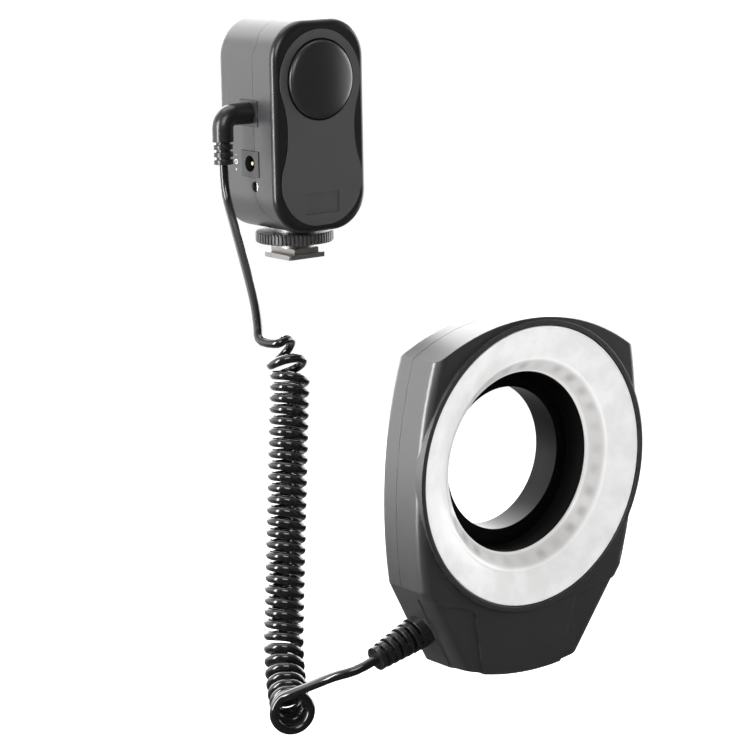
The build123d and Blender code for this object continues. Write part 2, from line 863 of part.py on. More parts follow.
up_cell_x = cell_x - cell_spacing / 2
down_cell_x = cell_x + cell_spacing / 2
down_cell_top = cell_bottom + cell_length - leaf_height
with BuildPart() as batteries:
    with BuildSketch(Plane.XY.offset(cell_bottom)):
        with Locations((up_cell_x, cell_y)):
            Circle(cell_radius)
    extrude(amount=cell_length - cell_nub_height)
    with BuildSketch(Plane.XY.offset(cell_bottom + cell_length - cell_nub_height)):
        with Locations((up_cell_x, cell_y)):
            Circle(cell_nub_radius)
    extrude(amount=cell_nub_height)
    with BuildSketch(Plane.XY.offset(down_cell_top)):
        with Locations((down_cell_x, cell_y)):
            Circle(cell_radius)
    extrude(amount=cell_nub_height - cell_length)
    with BuildSketch(Plane.XY.offset(down_cell_top - cell_length)):
        with Locations((down_cell_x, cell_y)):
            Circle(cell_nub_radius)
    extrude(amount=cell_nub_height)
batteries.part.label = "batteries"

with BuildPart() as battery_contacts:
    with BuildSketch(Plane.XY.offset(tray_low)):
        with Locations((up_cell_x, cell_y), (down_cell_x, cell_y)):
            Rectangle(contact_width, contact_width)
    extrude(amount=contact_plate)
    with BuildSketch(Plane.XY.offset(tray_high)):
        with Locations((cell_x, cell_y)):
            Rectangle(cell_spacing + contact_width, contact_width)
    extrude(amount=-contact_plate)
battery_contacts.part.label = "battery_contacts"

with BuildPart() as battery_springs:
    for leaf_x, leaf_z, way in (
        (up_cell_x, tray_low + contact_plate, 1),
        (down_cell_x, tray_high - contact_plate, -1),
    ):
        with BuildSketch(on_back(cell_y + leaf_width / 2)):
            with BuildLine():
                outer_bow = ThreePointArc(
                    (leaf_x - leaf_half, leaf_z),
                    (leaf_x, leaf_z + way * leaf_height),
                    (leaf_x + leaf_half, leaf_z),
                )
                Line(outer_bow @ 1, (leaf_x + leaf_half - leaf_foot, leaf_z))
                inner_bow = ThreePointArc(
                    (leaf_x + leaf_half - leaf_foot, leaf_z),
                    (leaf_x, leaf_z + way * (leaf_height - leaf_thickness)),
                    (leaf_x - leaf_half + leaf_foot, leaf_z),
                )
                Line(inner_bow @ 1, outer_bow @ 0)
            make_face()
        extrude(amount=leaf_width)
battery_springs.part.label = "battery_springs"

# Boards
with BuildPart() as circuit_board:
    with BuildSketch(on_back(main_board_y + main_board_thickness)):
        with Locations((0, (main_board_bottom + main_board_top) / 2)):
            RectangleRounded(
                2 * main_board_half_width, main_board_top - main_board_bottom, main_board_corner
            )
    extrude(amount=main_board_thickness)
circuit_board.part.label = "circuit_board"

control_back_y = control_board_y + control_board_thickness
with BuildPart() as control_board:
    with BuildSketch(on_back(control_back_y)):
        with Locations((0, (control_board_bottom + control_board_top) / 2)):
            Rectangle(2 * control_board_half_width, control_board_top - control_board_bottom)
    extrude(amount=control_board_thickness)
    add(unit_block(control_board_inset, control_board_y, control_back_y), mode=Mode.INTERSECT)
    with BuildSketch(on_back(control_back_y)):
        with Locations((0, button_row_z), (-side_button_x, button_row_z), (side_button_x, button_row_z)):
            Rectangle(tact_size, tact_size)
    extrude(amount=-tact_height)
    with BuildSketch(on_back(control_back_y)):
        with Locations((-switch_x, switch_row_z), (switch_x, switch_row_z)):
            Rectangle(slide_body_length, slide_body_width)
    extrude(amount=-slide_body_height)
control_board.part.label = "control_board"


def slide_switch(knob_x):
    """A slide: a flat plate under the cover's wall and a ribbed knob through the slot."""
    plate_y = cover_inner_y - button_rest_gap
    with BuildPart() as slide:
        with BuildSketch(on_back(plate_y)):
            with Locations((knob_x, switch_row_z)):
                Rectangle(switch_plate_length, switch_plate_height)
        extrude(amount=switch_plate_thickness)
        with BuildSketch(on_back(plate_y)):
            with Locations((knob_x, switch_row_z)):
                Rectangle(switch_knob_width, switch_knob_height)
        extrude(amount=plate_y - unit_back_y - switch_knob_proud)
        with BuildSketch(on_back(unit_back_y + switch_knob_proud)):
            with Locations((knob_x, switch_row_z)):
                with GridLocations(switch_knob_width / 3, 0, 2, 1):
                    Rectangle(switch_groove, switch_knob_height)
        extrude(amount=switch_groove, mode=Mode.SUBTRACT)
    return slide.part


with BuildPart() as power_switch:
    add(slide_switch(-switch_x - switch_travel / 2))
power_switch.part.label = "power_switch"

with BuildPart() as zone_switch:
    add(slide_switch(switch_x))
zone_switch.part.label = "zone_switch"

button_base_y = cover_inner_y - button_rest_gap
with BuildPart() as test_button:
    with BuildSketch(on_back(button_base_y)):
        with Locations((0, button_row_z)):
            Circle(test_radius + button_flange)
    extrude(amount=button_flange_thickness)
    with BuildSketch(on_back(button_base_y)):
        with Locations((0, button_row_z)):
            Circle(test_radius)
    extrude(amount=button_base_y - unit_back_y - button_proud)
    fillet(test_button.faces().sort_by(Axis.Y)[-1].edges(), radius=button_edge)
test_button.part.label = "test_button"


def side_button(centre_x):
    """A pill-shaped push button with its flange under the cover's wall."""
    with BuildPart() as button:
        with BuildSketch(on_back(button_base_y)):
            with Locations((centre_x, button_row_z)):
                Rectangle(side_button_width + 2 * button_flange, side_button_height + 2 * button_flange)
        extrude(amount=button_flange_thickness)
        with BuildSketch(on_back(button_base_y)):
            with Locations((centre_x, button_row_z)):
                RectangleRounded(side_button_width, side_button_height, side_button_corner)
        extrude(amount=button_base_y - unit_back_y - button_proud)
        fillet(button.faces().sort_by(Axis.Y)[-1].edges(), radius=button_edge)
    return button.part


with BuildPart() as brightness_down_button:
    add(side_button(-side_button_x))
brightness_down_button.part.label = "brightness_down_button"

with BuildPart() as brightness_up_button:
    add(side_button(side_button_x))
brightness_up_button.part.label = "brightness_up_button"

with BuildPart() as indicator_lamp:
    with BuildSketch(on_back(control_back_y)):
        with Locations((0, lamp_z)):
            Circle(lamp_radius)
    extrude(amount=control_back_y - unit_back_y - lamp_proud)
    fillet(indicator_lamp.faces().sort_by(Axis.Y)[-1].edges(), radius=0.9 * lamp_proud)
indicator_lamp.part.label = "indicator_lamp"

# Shoe foot: plate, web, threaded stud, and a neck and flange inside the case
with BuildPart() as shoe_foot:
    with BuildSketch():
        Rectangle(foot_width, foot_length)
    extrude(amount=foot_plate)
    chamfer(shoe_foot.edges().filter_by(Axis.Z), length=foot_corner)
    with BuildSketch(Plane.XY.offset(foot_plate)):
        Rectangle(web_width, web_length)
    extrude(amount=web_top - foot_plate)
    with BuildSketch(Plane.XY.offset(web_top)):
        Circle(stud_radius)
    extrude(amount=unit_bottom - web_top)
    with BuildSketch(Plane.XY.offset(unit_bottom)):
        Circle(neck_radius)
    extrude(amount=unit_wall)
    with BuildSketch(Plane.XY.offset(unit_bottom + unit_wall)):
        Rectangle(flange_width, flange_length)
    extrude(amount=flange_thickness)
    with BuildSketch():
        Circle(contact_radius + contact_clearance)
    extrude(amount=contact_bore_depth, mode=Mode.SUBTRACT)
    with BuildSketch(Plane.XY.offset(contact_lip)):
        Circle(contact_collar_radius + contact_clearance)
    extrude(amount=contact_bore_depth - contact_lip, mode=Mode.SUBTRACT)
    with BuildSketch(Plane.XY.offset(unit_bottom + unit_wall)):
        with Locations((0, -foot_screw_y), (0, foot_screw_y)):
            Circle(foot_screw_radius)
    extrude(amount=flange_thickness, mode=Mode.SUBTRACT)
    with BuildSketch(Plane.XY.offset(unit_bottom + unit_wall + flange_thickness)):
        with Locations((0, -foot_screw_y), (0, foot_screw_y)):
            Circle(foot_screw_head + screw_gap)
    extrude(amount=-foot_screw_head_height, mode=Mode.SUBTRACT)
shoe_foot.part.label = "shoe_foot"

with BuildPart() as contact_pin:
    with BuildSketch(Plane.XY.offset(-contact_proud)):
        Circle(contact_radius)
    extrude(amount=contact_proud + contact_lip + contact_clearance)
    with BuildSketch(Plane.XY.offset(contact_lip + contact_clearance)):
        Circle(contact_collar_radius)
    extrude(amount=contact_collar_height)
    fillet(contact_pin.faces().sort_by(Axis.Z)[0].edges(), radius=contact_proud)
contact_pin.part.label = "contact_pin"

# Lock wheel: a knurled disc on the stud
with BuildPart() as lock_wheel:
    with BuildSketch(Plane.XY.offset(wheel_bottom)):
        Circle(wheel_radius)
    extrude(amount=wheel_top - wheel_bottom)
    chamfer(lock_wheel.edges().filter_by(GeomType.CIRCLE), length=wheel_chamfer)
    with BuildSketch(Plane.XY.offset(wheel_bottom)):
        Circle(stud_radius + wheel_clearance)
        with PolarLocations(wheel_radius, ridge_count):
            Rectangle(2 * ridge_depth, ridge_width)
    extrude(amount=wheel_top - wheel_bottom, mode=Mode.SUBTRACT)
lock_wheel.part.label = "lock_wheel"

with BuildPart() as unit_screws:
    with BuildSketch(on_back(unit_back_y - screw_head_height)):
        with Locations(*cover_screws):
            Circle(screw_radius)
    extrude(amount=screw_length)
    with BuildSketch(on_back(unit_back_y)):
        with Locations(*cover_screws):
            Circle(screw_head_radius)
    extrude(amount=screw_head_height)
    with BuildSketch(Plane.XY.offset(unit_bottom + unit_wall + flange_thickness)):
        with Locations((0, -foot_screw_y), (0, foot_screw_y)):
            Circle(foot_screw_head)
    extrude(amount=-foot_screw_head_height)
    with BuildSketch(Plane.XY.offset(unit_bottom + unit_wall + flange_thickness)):
        with Locations((0, -foot_screw_y), (0, foot_screw_y)):
            Circle(foot_screw_radius)
    extrude(amount=-(flange_thickness + unit_wall / 2))
unit_screws.part.label = "unit_screws"

# Ring head: its planes, and the strain relief's place half way down the left cheek
cheek_run = Vector(chin_x - cheek_x, chin_z - cheek_z)
cheek_way = cheek_run.normalized()
gland_local = Vector(-cheek_x, cheek_z) + Vector(-cheek_way.X, cheek_way.Y) * gland_along_cheek
gland_base = head_plane.from_local_coords((gland_local.X, gland_local.Y, -head_parting_depth))
cheek_dip = math.degrees(math.atan2(-cheek_way.X, -cheek_way.Y))
gland_way = heading_vector(180, cheek_dip + head_roll - gland_lift)
gland_plane = Plane(origin=gland_base, x_dir=(0, 1, 0), z_dir=gland_way)
gland_section = Plane(origin=gland_base, x_dir=(0, 1, 0), z_dir=(gland_way.Z, 0, -gland_way.X))
gland_axis = Axis(gland_base, gland_way)
gland_tip = gland_collar_length + gland_ring_count * gland_ring_pitch

head_inner_back = head_back_depth - head_wall
head_inner_front = face_depth + head_wall
head_screws_at = (
    (-head_screw_x, head_screw_z),
    (head_screw_x, head_screw_z),
    (-chin_screw_x, chin_screw_z),
    (chin_screw_x, chin_screw_z),
)
head_outer = head_block(0, face_depth, head_back_depth, side_fillet, back_fillet)
head_space = head_block(
    head_wall, head_inner_front, head_inner_back, side_fillet - head_wall, back_fillet - head_wall
)
lens_bore_radius = sleeve_outer_radius + sleeve_fit_gap

with BuildPart() as wing_recess:
    with BuildSketch(head_plane.offset(-rim_wall_depth)):
        Polygon(
            (wing_top_x, wing_top_z),
            (wing_side_x, cheek_z),
            (wing_side_x, wing_low_z),
            (wing_low_x, wing_low_z),
            align=None,
        )
        mirror(about=Plane.YZ)
    extrude(amount=rim_wall_depth)
    add(
        head_block(wing_relief, face_depth + wing_relief, head_back_depth, side_fillet, back_fillet),
        mode=Mode.SUBTRACT,
    )

with BuildPart() as head_front_shell:
    add(head_outer)
    with BuildSketch(head_section):
        Polygon(
            (diffuser_radius - diffuser_ledge, 0),
            (rim_radius, 0),
            (rim_radius - rim_taper, rim_wall_depth),
            (diffuser_radius - diffuser_ledge, rim_wall_depth),
            align=None,
        )
    revolve(axis=head_axis)
    add(head_space, mode=Mode.SUBTRACT)
    with BuildSketch(head_plane.offset(-head_parting_depth)):
        with Locations(*head_screws_at):
            Circle(head_boss_radius)
    extrude(amount=head_parting_depth - head_inner_front)
    add(head_ring(diffuser_radius + diffuser_gap, 0, 0, ledge_depth), mode=Mode.SUBTRACT)
    add(head_ring(diffuser_radius - diffuser_ledge, 0, 0, rim_wall_depth), mode=Mode.SUBTRACT)
    add(wing_recess.part, mode=Mode.SUBTRACT)
    with BuildSketch(head_plane.offset(-head_parting_depth)):
        with Locations(*head_screws_at):
            Circle(screw_radius)
    extrude(amount=head_screw_grip, mode=Mode.SUBTRACT)
    with BuildSketch(gland_plane.offset(-2 * head_wall)):
        Circle(gland_hole_radius)
    extrude(amount=4 * head_wall, mode=Mode.SUBTRACT)
    split(bisect_by=head_plane.offset(head_seam_gap - head_parting_depth), keep=Keep.TOP)
head_front_shell.part.label = "head_front_shell"

with BuildPart() as head_rear_shell:
    add(head_outer)
    add(head_space, mode=Mode.SUBTRACT)
    with BuildSketch(head_plane.offset(-head_inner_back)):
        with Locations(*head_screws_at):
            Circle(head_boss_radius)
    extrude(amount=head_inner_back - head_parting_depth)
    with BuildSketch(head_plane.offset(-head_inner_back)):
        with PolarLocations(led_circle, led_post_count):
            Circle(led_post_radius)
    extrude(amount=head_inner_back - led_board_depth - led_board_thickness)
    with BuildSketch(head_plane.offset(-head_back_depth)):
        with Locations(*head_screws_at):
            Circle(screw_radius + screw_gap)
        Circle(lens_bore_radius)
    extrude(amount=head_back_depth - head_parting_depth, mode=Mode.SUBTRACT)
    with BuildSketch(head_plane.offset(-head_back_depth)):
        with Locations(*head_screws_at):
            Circle(head_screw_head_radius + screw_gap)
    extrude(amount=head_screw_head_height + screw_gap, mode=Mode.SUBTRACT)
    with BuildSketch(gland_plane.offset(-2 * head_wall)):
        Circle(gland_hole_radius)
    extrude(amount=4 * head_wall, mode=Mode.SUBTRACT)
    split(bisect_by=head_plane.offset(-head_parting_depth), keep=Keep.BOTTOM)
head_rear_shell.part.label = "head_rear_shell"

with BuildPart() as head_screws:
    with BuildSketch(head_plane.offset(-head_back_depth)):
        with Locations(*head_screws_at):
            Circle(head_screw_head_radius)
    extrude(amount=head_screw_head_height)
    with BuildSketch(head_plane.offset(-head_back_depth)):
        with Locations(*head_screws_at):
            Circle(screw_radius)
    extrude(amount=head_back_depth - head_parting_depth + head_screw_grip - screw_gap)
head_screws.part.label = "head_screws"

# Diffuser, drawn as radius against depth
back_ridge = (ridge_radius + diffuser_thickness / 2, ridge_at_depth + 1.1 * diffuser_thickness)
ledge_edge = diffuser_radius - diffuser_ledge - diffuser_gap
with BuildPart() as diffuser:
    with BuildSketch(head_section):
        with BuildLine():
            Line((diffuser_radius, diffuser_front_depth), (band_edge_radius, diffuser_front_depth))
            ThreePointArc(
                (band_edge_radius, diffuser_front_depth),
                (
                    (band_edge_radius + ridge_radius) / 2,
                    (diffuser_front_depth + ridge_at_depth) / 2 - band_sag,
                ),
                (ridge_radius, ridge_at_depth),
            )
            Polyline(
                (ridge_radius, ridge_at_depth),
                (diffuser_inner_radius, diffuser_foot_depth - diffuser_foot_height),
                (diffuser_inner_radius, diffuser_foot_depth),
                (diffuser_inner_radius + diffuser_foot_width, diffuser_foot_depth),
                (diffuser_inner_radius + diffuser_foot_width, diffuser_foot_depth - diffuser_foot_height / 2),
                back_ridge,
            )
            ThreePointArc(
                back_ridge,
                (
                    (back_ridge[0] + ledge_edge) / 2,
                    (back_ridge[1] + ledge_depth) / 2 - band_sag,
                ),
                (ledge_edge, ledge_depth),
            )
            Polyline(
                (ledge_edge, ledge_depth),
                (diffuser_radius, ledge_depth),
                (diffuser_radius, diffuser_front_depth),
            )
        make_face()
    revolve(axis=head_axis)
diffuser.part.label = "diffuser"

# LED ring
with BuildPart() as led_board:
    add(head_ring(led_board_outer, led_board_inner, led_board_depth, led_board_depth + led_board_thickness))
led_board.part.label = "led_board"

with BuildPart() as leds:
    with BuildSketch(head_plane.offset(-led_board_depth)):
        with PolarLocations(led_circle, led_count):
            Rectangle(led_size, led_size)
    extrude(amount=led_height)
leds.part.label = "leds"

# Sleeve through the middle, with a lip behind that the adapter turns in
sleeve_lip_front = head_back_depth - sleeve_end_gap - sleeve_lip_thickness
with BuildPart() as inner_sleeve:
    with BuildSketch(head_section):
        Polygon(
            (diffuser_inner_radius, diffuser_foot_depth),
            (sleeve_outer_radius, diffuser_foot_depth),
            (sleeve_outer_radius, head_inner_back - sleeve_flange_thickness),
            (sleeve_flange_radius, head_inner_back - sleeve_flange_thickness),
            (sleeve_flange_radius, head_inner_back),
            (sleeve_outer_radius, head_inner_back),
            (sleeve_outer_radius, head_back_depth - sleeve_end_gap),
            (adapter_neck_radius + adapter_clearance, head_back_depth - sleeve_end_gap),
            (adapter_neck_radius + adapter_clearance, sleeve_lip_front),
            (diffuser_inner_radius, sleeve_lip_front),
            align=None,
        )
    revolve(axis=head_axis)
inner_sleeve.part.label = "inner_sleeve"

collar_back = sleeve_lip_front - adapter_end_gap
flange_front = head_back_depth - sleeve_end_gap + adapter_end_gap
flange_back = flange_front + adapter_flange_thickness
with BuildPart() as adapter_ring:
    with BuildSketch(head_section):
        Polygon(
            (adapter_bore_radius, collar_back - adapter_collar_thickness),
            (adapter_collar_radius, collar_back - adapter_collar_thickness),
            (adapter_collar_radius, collar_back),
            (adapter_neck_radius, collar_back),
            (adapter_neck_radius, flange_front),
            (adapter_flange_radius, flange_front),
            (adapter_flange_radius, flange_back),
            (adapter_thread_radius, flange_back),
            (adapter_thread_radius, flange_back + adapter_thread_length),
            (adapter_bore_radius, flange_back + adapter_thread_length),
            align=None,
        )
    revolve(axis=head_axis)
adapter_ring.part.label = "adapter_ring"

# Strain relief: a collar against the cheek, tapering rings, and a neck and flange inside
with BuildPart() as strain_relief:
    with BuildSketch(gland_section):
        with Locations((gland_collar_radius / 2, 0)):
            Rectangle(gland_collar_radius, 2 * gland_collar_length)
        with Locations((gland_core_radius / 2, gland_tip / 2)):
            Rectangle(gland_core_radius, gland_tip)
        for ring in range(gland_ring_count):
            share = ring / (gland_ring_count - 1)
            ring_radius = gland_first_radius + (gland_tip_radius - gland_first_radius) * share
            ring_end = gland_collar_length + (ring + 1) * gland_ring_pitch
            with Locations((ring_radius / 2, ring_end - gland_ring_width / 2)):
                Rectangle(ring_radius, gland_ring_width)
    revolve(axis=gland_axis)
    for ring in range(gland_ring_count):
        share = ring / (gland_ring_count - 1)
        ring_radius = gland_first_radius + (gland_tip_radius - gland_first_radius) * share
        with BuildSketch(gland_plane.offset(gland_collar_length + ring * gland_ring_pitch)):
            Rectangle(2 * (ring_radius - gland_bridge_inset), gland_bridge_width, rotation=90 * (ring % 2))
        extrude(amount=gland_ring_pitch - gland_ring_width)
    add(head_outer, mode=Mode.SUBTRACT)
    with BuildSketch(gland_plane.offset(-gland_flange_back)):
        Circle(gland_flange_radius)
    extrude(amount=gland_flange_thickness)
    with BuildSketch(gland_plane.offset(-gland_flange_back)):
        Circle(gland_neck_radius)
    extrude(amount=gland_flange_back + gland_collar_length / 2)
strain_relief.part.label = "strain_relief"

# Right-angle plug and its barrel
plug_face_x = -unit_width / 2 - jack_proud
plug_x = plug_face_x - plug_reach
plug_leg_end = output_jack_z - plug_drop
plug_end = plug_leg_end - plug_ring_count * plug_ring_pitch
with BuildPart() as plug_body:
    with BuildLine(on_back(jack_y)) as elbow:
        leg = Line((plug_face_x, output_jack_z), (plug_x + plug_bend_radius, output_jack_z))
        bend = TangentArc(leg @ 1, (plug_x, output_jack_z - plug_bend_radius), tangent=leg % 1)
        Line(bend @ 1, (plug_x, plug_leg_end))
    with BuildSketch(Plane(origin=leg @ 0, z_dir=leg % 0)):
        Circle(plug_leg_radius)
    sweep(path=elbow.wires()[0])
    with BuildSketch(Plane(origin=(plug_x, jack_y, 0), x_dir=(1, 0, 0), z_dir=(0, -1, 0))):
        with Locations((plug_core_radius / 2, (plug_leg_end + plug_end) / 2)):
            Rectangle(plug_core_radius, plug_leg_end - plug_end)
        for ring in range(plug_ring_count):
            ring_bottom = plug_end + ring * plug_ring_pitch
            with Locations((plug_ring_radius / 2, ring_bottom + plug_ring_width / 2)):
                Rectangle(plug_ring_radius, plug_ring_width)
    revolve(axis=Axis((plug_x, jack_y, 0), (0, 0, 1)))
plug_body.part.label = "plug_body"

with BuildPart() as plug_barrel:
    with BuildSketch(on_side(-jack_proud)):
        with Locations((jack_y, output_jack_z)):
            Circle(plug_barrel_radius)
    extrude(amount=plug_barrel_length)
    chamfer(plug_barrel.faces().sort_by(Axis.X)[-1].edges(), length=plug_tip_chamfer)
plug_barrel.part.label = "plug_barrel"

# Curly cord: its centre line fans out of a bend, hangs straight, then bends forward at the bottom
curl_count = fan_curls + hang_curls + tail_curls
hang_way = heading_vector(coil_heading, 90 - coil_lean)
fan_axis = hang_way.cross(heading_vector(fan_heading, 0)).normalized()
coil_side = fan_axis.cross(hang_way).normalized()
fan_centre = Vector(coil_neck) - coil_side * fan_bend_radius
coil_foot = Vector(coil_neck) + hang_way * (hang_curls * curl_pitch)
tail_axis = hang_way.cross(heading_vector(tail_heading, 0)).normalized()
tail_centre = coil_foot + tail_axis.cross(hang_way).normalized() * tail_bend_radius


def coil_station(curl):
    """Place, direction and side of the coil's centre line after a number of curls."""
    neck = Vector(coil_neck)
    if curl < fan_curls:
        back = fan_turn * (1 - curl / fan_curls)
        spin = Axis((0, 0, 0), fan_axis)
        return (
            fan_centre + (neck - fan_centre).rotate(spin, back),
            hang_way.rotate(spin, back),
            coil_side.rotate(spin, back),
        )
    if curl < fan_curls + hang_curls:
        return neck + hang_way * ((curl - fan_curls) * curl_pitch), hang_way, coil_side
    turned = tail_turn * (curl - fan_curls - hang_curls) / tail_curls
    spin = Axis((0, 0, 0), tail_axis)
    return (
        tail_centre + (coil_foot - tail_centre).rotate(spin, turned),
        hang_way.rotate(spin, turned),
        coil_side.rotate(spin, turned),
    )


def coil_point(curl):
    """The cord's centre after a number of curls, left-handed about the coil's centre line."""
    place, way, side = coil_station(curl)
    radius = curl_radius + max(0, curl - curl_count + opening_curls) / opening_curls * (
        last_curl_radius - curl_radius
    )
    angle = math.radians(curl_start + 360 * curl)
    return place + side * (radius * math.cos(angle)) - way.cross(side) * (radius * math.sin(angle))


def coil_way(curl):
    """The cord's direction after a number of curls."""
    return (coil_point(curl + coil_step) - coil_point(curl - coil_step)).normalized()


lead_way = (Vector(upper_route[-1]) - Vector(upper_route[-2])).normalized()
lead_end = Vector(upper_route[-1]) + lead_way * (2 * cord_radius)
tail_way = (Vector(lower_route[1]) - Vector(lower_route[0])).normalized()
tail_start = Vector(lower_route[0]) - tail_way * (2 * cord_radius)
half_turns = math.ceil(2 * (curl_count - first_curl))
stops = [
    first_curl + (curl_count - first_curl) * stop / half_turns for stop in range(half_turns + 1)
]

with BuildPart() as cord_coil:
    with BuildLine() as coil_path:
        Line(Vector(upper_route[-1]), lead_end)
        biarc(lead_end, lead_way, coil_point(first_curl), coil_way(first_curl))
        for low, high in zip(stops, stops[1:]):
            biarc(coil_point(low), coil_way(low), coil_point(high), coil_way(high))
        biarc(coil_point(curl_count), coil_way(curl_count), tail_start, tail_way)
        Line(tail_start, Vector(lower_route[0]))
    with BuildSketch(Plane(origin=Vector(upper_route[-1]), z_dir=lead_way)):
        RegularPolygon(radius=cord_radius, side_count=cord_sides)
    sweep(path=coil_path.wires()[0], clean=False)
cord_coil.part.label = "cord_coil"


def cord_tube(points):
    """A round tube along straight runs that tangent arcs join."""
    with BuildPart() as tube:
        with BuildLine():
            route = FilletPolyline(*points, radius=route_radii(points))
        with BuildSketch(Plane(origin=route @ 0, z_dir=route % 0)):
            Circle(cord_radius)
        sweep(path=route)
    return tube.part


gland_end = gland_base + gland_way * gland_tip
upper_points = [(plug_x, jack_y, plug_end), *upper_route]
lower_points = [*lower_route, tuple(gland_end + gland_way * cord_straight), tuple(gland_end)]

with BuildPart() as cord_upper:
    add(cord_tube(upper_points))
cord_upper.part.label = "cord_upper"

with BuildPart() as cord_lower:
    add(cord_tube(lower_points))
cord_lower.part.label = "cord_lower"

coil_samples = []
for edge in coil_path.edges():
    coil_samples.extend((edge @ 0, edge @ 0.25, edge @ 0.5, edge @ 0.75))
least_gap = min(
    (later - sample).length - 2 * cord_radius
    for index, sample in enumerate(coil_samples)
    for later in coil_samples[index + samples_apart :]
)
print("least gap of the coil to itself", round(least_gap, 2))
print("upper cord radii", [round(radius, 1) for radius in route_radii(upper_points)])
print("lower cord radii", [round(radius, 1) for radius in route_radii(lower_points)])
for tube in (cord_upper, cord_lower):
    section = math.pi * cord_radius**2
    print(tube.part.label, "length by volume", round(tube.part.volume / section, 1))
print("coil length", round(sum(edge.length for edge in coil_path.edges()), 1))

for piece in (
    unit_front_shell,
    unit_rear_shell,
    front_bezel,
    front_panel,
    dome_cap,
    output_jack,
    dc_jack,
    dc_jack_pin,
    lanyard_pin,
    rear_cover,
    battery_door,
    battery_tray,
    batteries,
    battery_contacts,
    battery_springs,
    circuit_board,
    control_board,
    power_switch,
    zone_switch,
    test_button,
    brightness_down_button,
    brightness_up_button,
    indicator_lamp,
    shoe_foot,
    contact_pin,
    lock_wheel,
    unit_screws,
    head_front_shell,
    head_rear_shell,
    head_screws,
    diffuser,
    led_board,
    leds,
    inner_sleeve,
    adapter_ring,
    strain_relief,
    plug_body,
    plug_barrel,
    cord_upper,
    cord_coil,
    cord_lower,
):
    export_step(piece.part, f"parts/{piece.part.label}.step")
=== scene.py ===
"""Ring flash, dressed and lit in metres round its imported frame.

The foot's underside is the origin, +Z is up and the ring head faces -Y. The frame gives the sizes
and places of all that the construction holds. This script gives each piece its finish, models the
curly cord and the small turned, cut and printed details, and sets the camera, lamps and floor.
"""

from __future__ import annotations

import json
import logging
import math
from dataclasses import dataclass
from enum import Enum

import bpy
from mathutils import Euler, Matrix, Vector


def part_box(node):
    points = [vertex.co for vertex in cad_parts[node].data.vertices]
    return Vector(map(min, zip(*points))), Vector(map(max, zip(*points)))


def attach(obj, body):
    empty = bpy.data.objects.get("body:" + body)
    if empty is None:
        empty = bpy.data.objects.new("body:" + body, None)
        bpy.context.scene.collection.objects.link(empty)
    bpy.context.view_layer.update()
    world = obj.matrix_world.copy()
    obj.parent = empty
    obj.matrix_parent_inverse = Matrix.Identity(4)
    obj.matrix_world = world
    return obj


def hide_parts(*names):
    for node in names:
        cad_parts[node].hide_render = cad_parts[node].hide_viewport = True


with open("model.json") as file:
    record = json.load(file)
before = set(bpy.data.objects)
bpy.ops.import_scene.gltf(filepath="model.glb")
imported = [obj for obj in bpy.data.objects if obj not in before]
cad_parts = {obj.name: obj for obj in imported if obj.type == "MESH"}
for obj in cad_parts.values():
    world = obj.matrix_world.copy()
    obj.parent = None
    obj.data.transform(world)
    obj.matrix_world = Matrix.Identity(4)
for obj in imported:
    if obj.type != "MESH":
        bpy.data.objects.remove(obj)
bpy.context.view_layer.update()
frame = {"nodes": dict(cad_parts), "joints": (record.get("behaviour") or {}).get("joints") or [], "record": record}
LOG = logging.getLogger("ring_flash")
MM = 0.001
NEAR = 0.01 * MM
MERGE_DISTANCE = 1e-6
CREASE = 32.0
NODE_STEP = 180
CENTRE = (-0.01, -0.07, -0.03)
WHITE = (1.0, 1.0, 1.0, 1.0)
GRAIN_VALUES = ("Drift", "Roughness", "Spread", "Grain", "Depth")
Place = tuple[float, float, float]
Pair = tuple[float, float]
Numbers = tuple[float, ...]
Piece = bpy.types.Object
Socket = bpy.types.NodeSocket


def joint_spot(name: str) -> Vector:
    """The place of a joint of the frame, in metres."""
    return Vector(next(joint["pos_m"] for joint in frame["joints"] if joint["name"] == name))


def grey(level: float) -> Place:
    """A neutral colour."""
    return (level, level, level)


class Seen(Enum):
    """Which way a printed sign faces, by the turns of its text."""

    BEHIND = (math.pi / 2, 0.0, math.pi)
    CORD_SIDE = (math.pi / 2, 0.0, -math.pi / 2)


